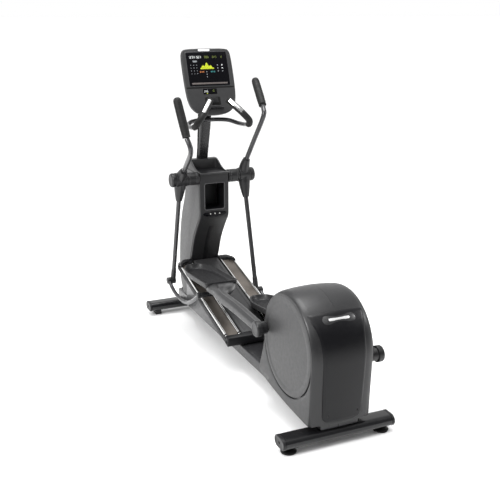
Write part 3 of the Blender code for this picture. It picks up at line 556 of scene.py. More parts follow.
for side, s in SIDES:
    shape = across([s * x for x, _ in skin], [outline for _, outline in skin])
    half_shell = closed_skin(f"{side}_housing_shell", shape, housing_plastic, wrap=True, crease=50)
    fit(half_shell, "frame", "charcoal_plastic", f"{side}_housing")

# Rear panel: one dark moulding that wraps the back of the housing between the two halves, with a soft raised
# edge, rounded lower corners and two screws near its foot. It carries a plain oval badge.
panel_low, panel_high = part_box("housing_rear_panel")
PANEL_TOP = math.radians(52)
PANEL_HALF = panel_high.x - 0.004


def panel_point(x, run, lift):
    """A point of the panel, or an array of them: `run` is the length down the back from its upper edge,
    first round the crank and then straight down; `lift` stands it off the housing."""
    radius = crown(x) + lift
    turn = np.clip(PANEL_TOP - run / SHELL_RADIUS, 0.0, PANEL_TOP)
    below = np.maximum(run - PANEL_TOP * SHELL_RADIUS, 0.0)
    y = CRANK[0] - radius * np.cos(turn) + 0.014 * np.clip(below / 0.3, 0, 1) ** 1.5
    z = CRANK[1] + radius * np.sin(turn) - below
    return np.stack([np.broadcast_to(x, y.shape), y, z], axis=-1)


def panel_grid(half_top, half_foot, length, lift, rows=60, columns=33, corner=0.035):
    """Grid of the panel's face: `across` and `down` run from edge to edge. The half width goes from half_top
    to half_foot, and shrinks like a quarter circle within `corner` of the foot. The lift falls to the
    housing at the edge."""
    down = np.linspace(0, 1, rows)[:, None]
    over = np.linspace(-1, 1, columns)[None, :]
    run = down * length
    rest = np.clip((length - run) / corner, 0, 1)
    half = half_top + (half_foot - half_top) * down + 0.024 * np.exp(-((run / 0.075) ** 2))
    half = half - corner * (1 - np.sqrt(1 - (1 - rest) ** 2))
    x = over * half
    edge = np.minimum(
        np.clip((1 - np.abs(over)) * half / 0.006, 0, 1),
        np.clip(np.minimum(run, length - run) / 0.006, 0, 1)
    )
    height = lift[0] + (lift[1] - lift[0]) * np.sqrt(1 - (1 - edge) ** 2)
    return panel_point(x, run, height)


def two_sided(name, front, back, material):
    """A closed sheet between two grids of the same size, joined all round their edges."""
    rows, columns = front.shape[:2]
    points = np.vstack([front.reshape(-1, 3), back.reshape(-1, 3)])
    at = np.arange(rows * columns).reshape(rows, columns)
    quads = np.stack([at[:-1, :-1], at[:-1, 1:], at[1:, 1:], at[1:, :-1]], axis=-1).reshape(-1, 4)
    rim = np.concatenate([at[0, :], at[1:, -1], at[-1, -2::-1], at[-2:0:-1, 0]])
    ahead = np.roll(rim, -1)
    wall = np.stack([rim, ahead, ahead + rows * columns, rim + rows * columns], axis=-1)
    faces = np.vstack([quads, quads[:, ::-1] + rows * columns, wall]).tolist()
    mesh = bpy.data.meshes.new(name)
    mesh.from_pydata(points.tolist(), [], faces)
    return finished(name, mesh, material)


panel_plastic = surface(
    "rear_panel_plastic", (0.003, 0.003, 0.004), 0.34, grain=620.0, relief=0.06, wear=0.03, shine=0.26
)
panel_length = PANEL_TOP * SHELL_RADIUS + CRANK[1] - panel_low.z
front = panel_grid(PANEL_HALF, PANEL_HALF - 0.016, panel_length, (0.0005, 0.0050))
back = panel_grid(PANEL_HALF, PANEL_HALF - 0.016, panel_length, (-0.0012, -0.0012))
fit(
    two_sided("rear_panel_shell", front, back, panel_plastic), "frame", "black_plastic", "housing_rear_panel"
)


def oval_on_panel(name, middle, half_wide, half_high, lift, thick, material):
    """A lozenge with round ends that follows the panel: rings shrink from its edge to its middle."""
    turn = np.linspace(0, 2 * math.pi, 72, endpoint=False)
    reach = half_wide - half_high
    x = np.sign(np.cos(turn)) * reach + half_high * np.cos(turn)
    run = middle + half_high * np.sin(turn)
    steps = ((1.0, 0.0), (1.0, 0.7), (0.985, 1.0), (0.6, 1.0), (0.2, 1.0))
    rings = [
        panel_point(share * x, middle + share * (run - middle), lift + thick * high) for share, high in steps
    ]
    return closed_skin(name, rings, material)


badge_plastic = surface("badge_plastic", (0.020, 0.020, 0.021), 0.30, relief=0.05, drift=0.06)
badge_silver = surface("badge_silver_paint", (0.62, 0.62, 0.62), 0.35, metal=0.3, drift=0.04)
fit(
    oval_on_panel("rear_badge", 0.042, 0.084, 0.0200, 0.0046, 0.0012, badge_plastic), "frame",
    "black_plastic"
)
fit(
    oval_on_panel("rear_badge_bar", 0.042, 0.054, 0.0062, 0.0056, 0.0008, badge_silver), "frame",
    "black_plastic"
)
for side, s in SIDES:
    spot = panel_point(s * 0.078, np.array(panel_length - 0.040), 0.0036)
    bolt(f"rear_panel_{side}_screw", spot, (0, -1, 0.03), 0.0062, "frame", dark_zinc)

# Crank discs: flat round covers that turn with the crank in the recess of each half, dished a little inside
# a shallow ring. The pedal arm's pin goes through near the edge.
disc_plastic = surface(
    "crank_disc_plastic", (0.044, 0.044, 0.045), 0.46, grain=620.0, drift=0.05, wear=0.04, shine=0.35
)


def turned_across(name, profile, s, at, material, sides=48, crease=38.0):
    """A turned body whose axis lies across the machine at (y, z), its profile measured outwards on side
    s."""
    return turned(name, profile, (0, *at), (s, 0, 0), material, sides, crease)


disc_rim = [(-0.0090, -0.0035), (-0.0002, -0.0025), (0.0014, -0.0042), (0.0022, -0.012), (0.0028, -0.028)]
disc_rim += [(0.0010, -0.033), (0.0016, -0.042)]
disc_profile = [(SHELL_SIDE - 0.0090, 0.05)] + [(SHELL_SIDE + a, DISC_RADIUS + r) for a, r in disc_rim]
disc_profile += [(SHELL_SIDE + 0.0040, 0.150), (SHELL_SIDE + 0.0058, 0.04)]
for side, s in SIDES:
    disc = turned_across(f"{side}_disc", disc_profile, s, CRANK, disc_plastic, 160, 30.0)
    fit(disc, "crank", "grey_plastic", f"{side}_crank_disc")

# Drive inside the housing: a turned axle with its pulley, a belt, the flywheel on its shaft and the brake
# magnet, all held by the drive support. It can't be seen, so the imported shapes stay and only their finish
# changes.
turned_steel = surface("turned_steel", (0.55, 0.55, 0.54), 0.30, metal=1.0, relief=0.15)
cast_iron = surface(
    "cast_iron_flywheel", (0.12, 0.12, 0.12), 0.55, metal=0.8, grain=300.0, relief=0.3, drift=0.15, wear=0.1
)
belt_rubber = surface("belt_rubber", (0.016, 0.016, 0.016), 0.7, grain=700.0, relief=0.3, drift=0.1)


def refinish(node, material):
    """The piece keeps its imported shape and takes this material."""
    materials = frame["nodes"][node].data.materials
    materials.clear()
    materials.append(material)


for node in ("crank_axle_pulley", "flywheel_shaft"):
    refinish(node, turned_steel)
for node in ("flywheel", "brake_magnet"):
    refinish(node, cast_iron)
refinish("drive_belt", belt_rubber)
refinish("drive_support", gunmetal)

# Tower: a steel post inside four covers. The side panels are light grey mouldings, the face towards the user
# is darker and holds the storage pocket, a dark lens-shaped band and a long slot, and the front is one
# curved cover.
tower_plastic = surface(
    "tower_panel_plastic", (0.088, 0.088, 0.089), 0.50, grain=620.0, relief=0.10, drift=0.05, wear=0.04,
    shine=0.35
)
face_plastic = surface("tower_face_plastic", (0.012, 0.012, 0.013), 0.42, grain=620.0, wear=0.04, shine=0.35)
face_low, face_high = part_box("tower_rear_cover")
side_low, side_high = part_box("right_tower_panel")
BACK_LINE = [
    (1.512, 1.000), (1.512, 0.735), (1.560, 0.680), (1.635, 0.575), (1.680, 0.466), (1.706, 0.40),
    (1.722, 0.30), (1.728, 0.152)
]
FRONT_LINE = [
    (1.860, 0.152), (1.905, 0.22), (1.920, 0.33), (1.912, 0.45), (1.890, 0.58), (1.850, 0.70), (1.800, 0.80),
    (1.778, 0.86), (1.765, 0.93), (1.762, 1.000)
]


def smooth_line(points, steps):
    """A Catmull-Rom curve through the points, with this many steps between neighbours."""
    p = np.array(points, float)
    p = np.vstack([2 * p[0] - p[1], p, 2 * p[-1] - p[-2]])
    t = np.linspace(0, 1, steps, endpoint=False)[:, None]
    a, b, c, d = p[:-3, None], p[1:-2, None], p[2:-1, None], p[3:, None]
    curve = 0.5 * (2 * b + (c - a) * t + (2 * a - 5 * b + 4 * c - d) * t**2 + (3 * b - a - 3 * c + d) * t**3)
    return np.vstack([curve.reshape(-1, p.shape[1]), p[-2:-1]])


def moved(line, dy=0.0):
    """A (y, z) line whose y counts from the rear bar, put in place and moved forwards by dy."""
    return np.array(line, float) + (REAR + dy, 0.0)


def carve(piece, *cutters):
    """Cuts the closed cutters out of the piece for good, and removes them."""
    for cutter in cutters:
        step = piece.modifiers.new("cut", "BOOLEAN")
        step.operation = "DIFFERENCE"
        step.solver = "EXACT"
        step.object = cutter
        bpy.context.view_layer.update()
        cut = bpy.data.meshes.new_from_object(piece.evaluated_get(bpy.context.evaluated_depsgraph_get()))
        piece.modifiers.clear()
        piece.data = cut
        bpy.data.objects.remove(cutter)
    piece.data.shade_smooth()
    piece.data.set_sharp_from_angle(angle=math.radians(38))
    return piece


back_curve = eased(moved(BACK_LINE), np.array([0, 0.03, 0.05, 0.05, 0.05, 0.05, 0.05, 0]), 6)
front_curve = smooth_line(moved(FRONT_LINE), 5)
panel_outline = np.vstack([back_curve + (0.0198, 0.0), front_curve])
for side, s in SIDES:
    low_x, high_x = sorted((s * side_low.x, s * side_high.x))
    panel = slab(f"{side}_tower_side", panel_outline, low_x, high_x, tower_plastic, 0.0045, 4, 50.0)
    fit(panel, "frame", "grey_plastic", f"{side}_tower_panel")
front_outline = np.vstack([front_curve, (front_curve - (0.0194, 0.0))[::-1]])
front_cover = slab("tower_front_shell", front_outline, -0.0786, 0.0786, tower_plastic, 0.0008, 2, 50.0)
fit(front_cover, "frame", "grey_plastic", "tower_front_cover")

POCKET = (0.063, 0.783, 0.943)
POCKET_BACK = REAR + 1.636


def round_box(name, half_x, low_z, high_z, low_y, high_y, radius, material):
    """A block along Y whose section in X and Z has corners of this radius."""
    section = [(-half_x, low_z), (half_x, low_z), (half_x, high_z), (-half_x, high_z)]
    section = eased(section, radius, 5, True)
    rings = [np.insert(section, 1, y, axis=1) for y in (low_y, high_y)]
    return closed_skin(name, rings, material)


face_outline = np.vstack([back_curve, (back_curve + (0.0194, 0.0))[::-1]])
face = slab("tower_face_shell", face_outline, face_low.x, face_high.x, face_plastic, 0.0060, 4, 50.0)
pocket_mouth = round_box("pocket_mouth", *POCKET, REAR + 1.40, REAR + 1.60, 0.012, face_plastic)
slot_line = eased(moved(BACK_LINE[2:6], 0.009), 0.05, 5)
slot = slab(
    "slot_cutter", np.vstack([slot_line[2:], (slot_line[2:] - (0.06, 0.0))[::-1]]), -0.013, 0.013,
    face_plastic, 0.0, 1
)
fit(carve(face, pocket_mouth, slot), "frame", "charcoal_plastic", "tower_rear_cover")
# A black strip a little wider than the slot lies over it: painted shade that makes the slot read dark.
strip_line = eased(moved([(1.566, 0.672), *BACK_LINE[3:7]], -0.0007), 0.05, 5)
slot_strip = slab(
    "tower_slot_strip", np.vstack([strip_line, (strip_line + (0.004, 0.0))[::-1]]), -0.0150, 0.0150,
    black_moulding, 0.0006, 2, 50.0
)
fit(slot_strip, "frame", "black_plastic")
bin_shell = round_box(
    "storage_bin", 0.0668, 0.7793, 0.9467, REAR + 1.5300, REAR + 1.640, 0.014, black_moulding
)
bin_hollow = round_box("bin_hollow", *POCKET, REAR + 1.50, POCKET_BACK, 0.012, black_moulding)
fit(carve(bin_shell, bin_hollow), "frame", "black_plastic")


def swept(name, path, section, material, wrap=False):
    """A section carried along a path in space. Each section point is (side, up) in metres and may differ
    from ring to ring; side and up stay square to the path and turn as little as they can."""
    path = np.array(path, float)
    if wrap:
        along = np.roll(path, -1, axis=0) - np.roll(path, 1, axis=0)
    else:
        along = np.gradient(path, axis=0)
    along /= np.linalg.norm(along, axis=1)[:, None]
    side = np.cross(along[0], (0.0, 0.3, 1.0))
    sides = []
    for forward in along:
        side = side - forward * (side @ forward)
        side = side / np.linalg.norm(side)
        sides.append(side)
    sides = np.array(sides)
    ups = np.cross(along, sides)
    section = np.asarray(section, float)
    if section.ndim == 2:
        section = np.broadcast_to(section, (len(path), *section.shape))
    rings = path[:, None] + section[..., :1] * sides[:, None] + section[..., 1:] * ups[:, None]
    return closed_skin(name, rings, material, wrap=wrap)


def ring_of(radius, sides):
    """The section of a round tube."""
    turn = np.arange(sides) * 2 * math.pi / sides
    return np.column_stack([radius * np.cos(turn), radius * np.sin(turn)])


lip_plastic = surface("pocket_lip_plastic", (0.060, 0.060, 0.063), 0.35, grain=700.0, drift=0.05, wear=0.03)
lip = eased([(-0.0645, 0.7815), (0.0645, 0.7815), (0.0645, 0.9445), (-0.0645, 0.9445)], 0.013, 6, True)
lip_path = np.column_stack([lip[:, 0], np.full(len(lip), REAR + 1.5125), lip[:, 1]])
fit(swept("pocket_lip", lip_path, ring_of(0.0024, 12), lip_plastic, wrap=True), "frame", "charcoal_plastic")

# A dark glossy band shaped like a lens lies across the face below the pocket, with three plain round lamps.
band_gloss = surface("band_gloss", (0.002, 0.002, 0.003), 0.22, relief=0.02, drift=0.05, shine=0.12)
BAND_HEIGHT = 0.756
turn = np.linspace(0, 2 * math.pi, 64, endpoint=False)
band_z = np.where(np.sin(turn) > 0, 0.0130, 0.0190) * np.sign(np.sin(turn)) * np.abs(np.sin(turn)) ** 0.9
band = np.column_stack([0.0755 * np.cos(turn), band_z])
steps = ((1.0, 1.5135), (1.0, 1.5094), (0.97, 1.5088), (0.3, 1.5088))
rings = [np.insert(share * band + (0, BAND_HEIGHT), 1, REAR + y, axis=1) for share, y in steps]
fit(closed_skin("tower_band", rings, band_gloss), "frame", "black_plastic")
lamp = surface("lamp_lens", (0.45, 0.45, 0.43), 0.25, relief=0.05, drift=0.05)
for i, x in enumerate((-0.030, 0.0, 0.030)):
    dome = [(0, 0.0042), (0.0006, 0.0042), (0.0010, 0.0030), (0.0012, 0.0008)]
    fit(
        turned(f"band_lamp_{i}", dome, (x, REAR + 1.5088, BAND_HEIGHT), (0, -1, 0), lamp, 20), "frame",
        "grey_plastic"
    )
refinish("tower_post", gunmetal)

# Top tray: the open moulded tray on the tower, low towards the user and rising round the foot of the mast.
tray_plastic = surface("top_tray_plastic", (0.022, 0.022, 0.023), 0.36, grain=620.0, wear=0.04, shine=0.45)
tray_line = [
    (1.500, 1.0004), (1.762, 1.0004), (1.775, 1.02), (1.772, 1.045), (1.750, 1.062), (1.700, 1.066),
    (1.660, 1.050), (1.600, 1.016), (1.500, 1.009)
]
tray_radii = np.array([0.004, 0.01, 0.01, 0.02, 0.02, 0.02, 0.05, 0.05, 0.004])
tray = slab(
    "tray_shell", eased(moved(tray_line), tray_radii, 5, True), -0.092, 0.092, tray_plastic, 0.005, 4, 50.0
)
hollow = eased(
    [(-0.083, REAR + 1.511), (0.083, REAR + 1.511), (0.083, REAR + 1.692), (-0.083, REAR + 1.692)], 0.014, 5,
    True
)
rings = [np.insert(hollow, 2, z, axis=1) for z in (1.005, 1.20)]
tray_hollow = closed_skin("tray_hollow", rings, tray_plastic)
fit(carve(tray, tray_hollow), "frame", "charcoal_plastic", "top_tray")
# A thin dark sheet on the tray's floor, darker than the tray: painted shade of the tray's hollow.
tray_floor_outline = eased(
    [(-0.080, REAR + 1.514), (0.080, REAR + 1.514), (0.080, REAR + 1.689), (-0.080, REAR + 1.689)], 0.012, 5,
    True
)
rings = [np.insert(tray_floor_outline, 2, z, axis=1) for z in (1.0050, 1.0066)]
fit(closed_skin("tray_floor_shade_sheet", rings, black_moulding), "frame", "black_rubber")

# Mast: a box-section steel upright in satin black, from the tower up to the back of the console.
mast_low, mast_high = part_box("mast")
mast_line = [
    (1.710, 1.0), (1.765, 1.0), (1.668, 1.33), (1.690, 1.45), (1.683, 1.50), (1.6425, 1.499),
    (1.6185, 1.4355), (1.622, 1.33)
]
mast_radii = np.array([0, 0, 0.10, 0.05, 0.01, 0.01, 0.03, 0.08])
mast_paint = surface(
    "satin_black_mast_paint", (0.012, 0.012, 0.013), 0.28, metal=0.2, grain=420.0, relief=0.01, coat=0.2,
    shine=0.35
)
mast = slab(
    "mast_tube", eased(moved(mast_line), mast_radii, 6, True), mast_low.x, mast_high.x, mast_paint, 0.010, 5,
    50.0
)
fit(mast, "frame", "satin_black_paint", "mast")

# Hub: a cross tube through the top of the tower carries both arms. It has a moulded collar on each side, and
# a domed cap closes each end.
hub_low, hub_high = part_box("hub_cross_tube")
HUB = ((hub_low.y + hub_high.y) / 2, (hub_low.z + hub_high.z) / 2)
hub_plastic = surface("hub_plastic", (0.010, 0.010, 0.011), 0.38, grain=620.0, wear=0.05, shine=0.4)
tube_profile = [(-0.2395, 0.0216), (0.2395, 0.0216)]
core = turned_across("hub_tube", tube_profile, 1, HUB, zinc)
fit(core, "frame", "bare_steel", "hub_cross_tube")
for side, s in SIDES:
    collar = [
        (0.0958, 0.022), (0.0958, 0.0385), (0.108, 0.040), (0.112, 0.0378), (0.116, 0.0395), (0.150, 0.0395)
    ]
    collar = eased(collar + [(0.154, 0.0372), (0.158, 0.0398), (0.1676, 0.0390), (0.1676, 0.022)], 0.0022, 4)
    fit(turned_across(f"{side}_hub_collar", collar, s, HUB, hub_plastic, 64), "frame", "charcoal_plastic")
    cap = [
        (0.2406, 0.012), (0.2406, 0.0405), (0.243, 0.042), (0.260, 0.042), (0.2665, 0.0375), (0.2680, 0.030),
        (0.2668, 0.0285)
    ]
    cap = eased(cap + [(0.2664, 0.004)], 0.003, 4)
    fit(
        turned_across(f"{side}_hub_end", cap, s, HUB, hub_plastic, 64), "frame", "charcoal_plastic",
        f"{side}_hub_cap"
    )

# Swinging arms: a moulded hub boot turns on the cross tube and clamps two painted steel tubes. The upper
# tube bends out to a rubber grip. The lower tube ends in a ferrule and an eye that carries the link bar.
pivot = {joint["name"]: Vector(joint["pos_m"]) for joint in frame["joints"] if "pos_m" in joint}
arm_paint = surface(
    "arm_tube_paint", (0.050, 0.050, 0.053), 0.24, metal=0.6, grain=420.0, relief=0.03, wear=0.05, coat=0.25,
    shine=0.4
)
boot_plastic = surface("hub_boot_plastic", (0.012, 0.012, 0.013), 0.36, grain=620.0, wear=0.05, shine=0.4)
grip_rubber = surface(
    "grip_rubber", (0.005, 0.005, 0.005), 0.60, grain=330.0, relief=0.5, drift=0.15, wear=0.05, shine=0.3
)
EYE_X = 0.203


def hung(points, s, swing):
    """Points given for the right arm hanging straight down, put on side s and turned about the hub by
    `swing`, which takes the lower end forwards."""
    p = np.array(points, float) * (s, 1, 1) + (0, REAR, 0)
    y, z = p[:, 1] - HUB[0], p[:, 2] - HUB[1]
    cos, sin = math.cos(swing), math.sin(swing)
    return np.column_stack([p[:, 0], HUB[0] + y * cos - z * sin, HUB[1] + y * sin + z * cos])


def squared_circle(count, power):
    """A circle pushed towards a square: cos t and sin t keep their signs, and their sizes are raised to
    `power`."""
    turn = np.arange(count) * 2 * math.pi / count
    circle = np.column_stack([np.cos(turn), np.sin(turn)])
    return np.sign(circle) * np.abs(circle) ** power


def resampled(values, count):
    """Radii or other values along a path, read off at `count` even places."""
    values = np.array(values, float)
    return np.interp(np.linspace(0, len(values) - 1, count), np.arange(len(values)), values)


for side, s in SIDES:
    eye = pivot[f"{side}_link_pivot"]
    swing = math.atan2(eye.y - HUB[0], HUB[1] - eye.z)
    body = f"{side}_arm"
    spine = [
        (0.205, 1.546, 0.836), (0.205, 1.546, 0.875), (0.205, 1.545, 0.925), (0.205, 1.540, 0.985),
        (0.207, 1.512, 1.030), (0.211, 1.484, 1.062)
    ]
    spine = smooth_line(hung(spine, s, swing), 8)
    wide = resampled([0.0185, 0.026, 0.0335, 0.0345, 0.0285, 0.0205], len(spine))
    turn = np.arange(40) * 2 * math.pi / 40
    ridge = 1.0 + 0.10 * np.exp(-((np.abs(np.angle(np.exp(1j * (turn - math.pi / 2)))) / 0.22) ** 2))
    shape = squared_circle(40, 0.85) * ridge[:, None]
    boot = swept(f"{side}_hub_boot", spine, wide[:, None, None] * shape, boot_plastic)
    fit(boot, body, "charcoal_plastic", f"{side}_arm_hub")
    barrel = [
        (0.1690, 0.024), (0.1690, 0.0415), (0.172, 0.0435), (0.188, 0.0425), (0.220, 0.0425),
        (0.2365, 0.0435), (0.2393, 0.0415), (0.2393, 0.024)
    ]
    fit(
        turned_across(f"{side}_hub_barrel", eased(barrel, 0.003, 3), s, HUB, boot_plastic, 64), body,
        "charcoal_plastic"
    )

    bend = [
        (0.2105, 1.4860, 1.0605), (0.232, 1.385, 1.166), (0.252, 1.296, 1.258), (0.262, 1.273, 1.300),
        (0.268, 1.284, 1.325), (0.276, 1.307, 1.350)
    ]
    upper = swept(
        f"{side}_upper_arm_tube", smooth_line(hung(bend, s, swing), 10), ring_of(0.0142, 28), arm_paint
    )
    fit(upper, body, "gunmetal_paint", f"{side}_upper_tube")
    ends = hung([(0.2766, 1.3100, 1.3540), (0.304, 1.439, 1.537)], s, swing)
    stations = np.array(
        [0, 0.004, 0.012, 0.022, 0.05, 0.30, 0.55, 0.80, 0.90, 0.94, 0.97, 0.988, 0.997, 1.0]
    )
    radii = np.array(
        [
            0.0170, 0.0208, 0.0232, 0.0222, 0.0226, 0.0240, 0.0238, 0.0236, 0.0230, 0.0216, 0.0184, 0.0135,
            0.0080, 0.0025
        ]
    )
    grip_path = ends[0] + stations[:, None] * (ends[1] - ends[0])
    grip = swept(f"{side}_hand_grip", grip_path, radii[:, None, None] * ring_of(1.0, 32), grip_rubber)
    fit(grip, body, "black_rubber", f"{side}_arm_grip")
    for k, share in enumerate(np.linspace(0.12, 0.86, 9)):
        at = ends[0] + share * (ends[1] - ends[0])
        radius = float(np.interp(share, stations, radii))
        groove = [
            (-0.0030, radius - 0.001), (-0.0016, radius + 0.0007), (0.0016, radius + 0.0007),
            (0.0030, radius - 0.001)
        ]
        fit(
            turned(f"{side}_grip_rib_{k}", groove, at, ends[1] - ends[0], grip_rubber, 28), body,
            "black_rubber"
        )

    top, foot = hung([(0.205, 1.546, 0.838), (EYE_X, 1.546, HUB[1] - 0.72 + 0.055)], s, swing)
    foot = np.array([s * EYE_X, *foot[1:]])
    lower = swept(f"{side}_lower_arm_tube", np.linspace(top, foot, 4), ring_of(0.0136, 28), arm_paint)
    fit(lower, body, "gunmetal_paint", f"{side}_lower_tube")
    down = np.array(eye) * (0, 1, 1) + (s * EYE_X, 0, 0) - foot
    reach = np.linalg.norm(down)
    ferrule = [
        (-0.030, 0.0137), (-0.0295, 0.0148), (-0.022, 0.0156), (0.006, 0.0160), (0.026, 0.0163),
        (reach - 0.016, 0.0160), (reach - 0.010, 0.012)
    ]
    fit(
        turned(f"{side}_arm_ferrule", eased(ferrule, 0.004, 3), foot, down, boot_plastic, 32), body,
        "charcoal_plastic"
    )
    knuckle = eased(
        [
            (0.1888, 0.006), (0.1888, 0.0205), (0.1905, 0.0222), (0.2150, 0.0222), (0.2170, 0.0205),
            (0.2170, 0.006)
        ],
        0.002, 3
    )
    fit(turned_across(f"{side}_arm_eye", knuckle, s, eye.yz, boot_plastic), body, "charcoal_plastic")

# Link bars: a bent round bar ties the foot of each arm to its pedal arm. Each end is a turned eye with a
# cap.
LINK_X = 0.2295
LINK_STUD = (0.0, -0.2275, -0.030)
CRANK_THROW = 0.2
CRANK_TURN = math.radians(7)


def on_arm(side, s):
    """For one pedal arm: a function that places points (x, along, high), `along` measured from the roller
    towards the front and `high` square to the arm, and the (y, z) of the roller and of the crank pin."""
    roller_low, roller_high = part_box(f"{side}_roller")
    roller = np.array([(roller_low.y + roller_high.y) / 2, (roller_low.z + roller_high.z) / 2])
    angle = CRANK_TURN + (0 if s < 0 else math.pi)
    pin = np.array([CRANK[0] + CRANK_THROW * math.cos(angle), CRANK[1] + CRANK_THROW * math.sin(angle)])
    forward = (roller - pin) / np.linalg.norm(roller - pin)
    up = np.array([-forward[1], forward[0]])

    def at(points):
        p = np.array(points, float)
        return np.column_stack([s * p[:, 0], roller + p[:, 1:2] * forward + p[:, 2:3] * up])

    return at, roller, pin


for side, s in SIDES:
    eye = pivot[f"{side}_link_pivot"]
    low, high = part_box(f"{side}_link_bar")
    back_y = low.y + 0.018
    front = np.array([s * LINK_X, eye.y, eye.z])
    stud = on_arm(side, s)[0]([LINK_STUD])[0]
    share = (back_y - eye.y) / (stud[1] - eye.y)
    back = np.array([s * LINK_X, back_y, eye.z + share * (stud[2] - eye.z)])
    sag = np.array([(0.0, 0.0), (0.18, 0.055), (0.42, 0.085), (0.66, 0.080), (0.86, 0.040), (1.0, 0.0)])
    line = front + sag[:, :1] * (back - front) - sag[:, 1:] * (0, 0, 1)
    bar = swept(f"{side}_link_rod", smooth_line(line, 12), ring_of(0.0116, 28), arm_paint)
    fit(bar, f"{side}_link", "gunmetal_paint", f"{side}_link_bar")
    head = [
        (0.2180, 0.004), (0.2180, 0.0205), (0.2195, 0.0216), (0.2395, 0.0216), (0.2425, 0.0190),
        (0.2438, 0.0130), (0.2430, 0.0110), (0.2430, 0.004)
    ]
    fit(
        turned_across(f"{side}_link_front_eye", eased(head, 0.002, 3), s, front[1:], boot_plastic),
        f"{side}_link", "charcoal_plastic"
    )
    tail = [
        (0.2180, 0.004), (0.2180, 0.0172), (0.2195, 0.0182), (0.2385, 0.0182), (0.2408, 0.0165),
        (0.2408, 0.004)
    ]
    fit(
        turned_across(f"{side}_link_rear_eye", eased(tail, 0.002, 3), s, back[1:], boot_plastic),
        f"{side}_link", "charcoal_plastic"
    )

# Pedal arms: a moulded cover over a steel tube runs from a two-step boss on the crank pin, out round the
# disc, and under the foot tray to the fork that holds the roller.
pedal_plastic = surface("pedal_arm_plastic", (0.021, 0.021, 0.022), 0.36, grain=620.0, wear=0.05, shine=0.4)
tray_moulding = surface(
    "foot_tray_plastic", (0.016, 0.016, 0.017), 0.42, grain=620.0, relief=0.12, wear=0.08, shine=0.35
)
tread_rubber = surface(
    "foot_tread_rubber", (0.010, 0.010, 0.011), 0.62, grain=420.0, relief=0.25, drift=0.10, wear=0.10,
    shine=0.3
)
PEDAL_X = 0.128
ROLLER_X = 0.141
HEEL = -0.345
TOE = 0.130


def tray_rings(sections, corner):
    """Rings of a foot tray. A section holds the half widths at heel and toe, how far it stays in from the
    heel and from the toe, its height, and how much its ends rise. Its outline is a shape with rounded
    corners that narrows over the last 0.10 m before the toe."""
    rings = []
    for heel_half, toe_half, from_heel, from_toe, height, lift in sections:
        heel, toe = HEEL + from_heel, TOE - from_toe
        shape = [(PEDAL_X - heel_half, heel), (PEDAL_X + heel_half, heel), (PEDAL_X + heel_half, toe - 0.10)]
        shape += [(PEDAL_X + toe_half, toe), (PEDAL_X - toe_half, toe), (PEDAL_X - heel_half, toe - 0.10)]
        outline = eased(shape, np.array([corner, corner, 0.08, 0.035, 0.035, 0.08]), 7, True)
        share = np.clip((outline[:, 1] - HEEL) / (TOE - HEEL), 0, 1)
        rise = height + lift * (0.35 * (1 - share) ** 3 + share**4)
        rings.append(np.column_stack([outline, rise]))
    return rings


tray_sections = [(0.050, 0.020, 0.06, 0.05, 0.0322, 0), (0.090, 0.038, 0.006, 0.008, 0.0322, 0)]
tray_sections += [(0.0935, 0.042, 0.003, 0.004, 0.0335, 0), (0.0975, 0.0465, 0.0005, 0.001, 0.050, 0.002)]
tray_sections += [(0.0995, 0.048, 0, 0, 0.0610, 0.007), (0.0985, 0.047, 0.001, 0.001, 0.0640, 0.008)]
tray_sections += [(0.0950, 0.044, 0.004, 0.004, 0.0650, 0.008), (0.0915, 0.041, 0.008, 0.008, 0.0640, 0.008)]
tray_sections += [(0.0895, 0.039, 0.010, 0.011, 0.0590, 0.005), (0.0860, 0.036, 0.014, 0.016, 0.0460, 0.002)]
tray_sections += [(0.0820, 0.032, 0.019, 0.022, 0.0415, 0), (0.0790, 0.029, 0.023, 0.026, 0.0405, 0)]
tray_sections += [(0.050, 0.015, 0.06, 0.06, 0.0402, 0)]
mat_sections = [(0.070, 0.022, 0.034, 0.040, 0.0402, 0), (0.070, 0.022, 0.034, 0.040, 0.0418, 0)]
mat_sections += [(0.0685, 0.021, 0.0355, 0.0415, 0.0424, 0)]
tread_rib = eased(
    [(-0.0035, 0.0420), (0.0035, 0.0420), (0.0024, 0.0438), (-0.0024, 0.0438)], 0.0008, 2, True
)
fork_gap = [(-0.036, -0.06), (0.10, -0.06), (0.10, 0.06), (-0.036, 0.06)]
arm_section = squared_circle(44, 0.62)
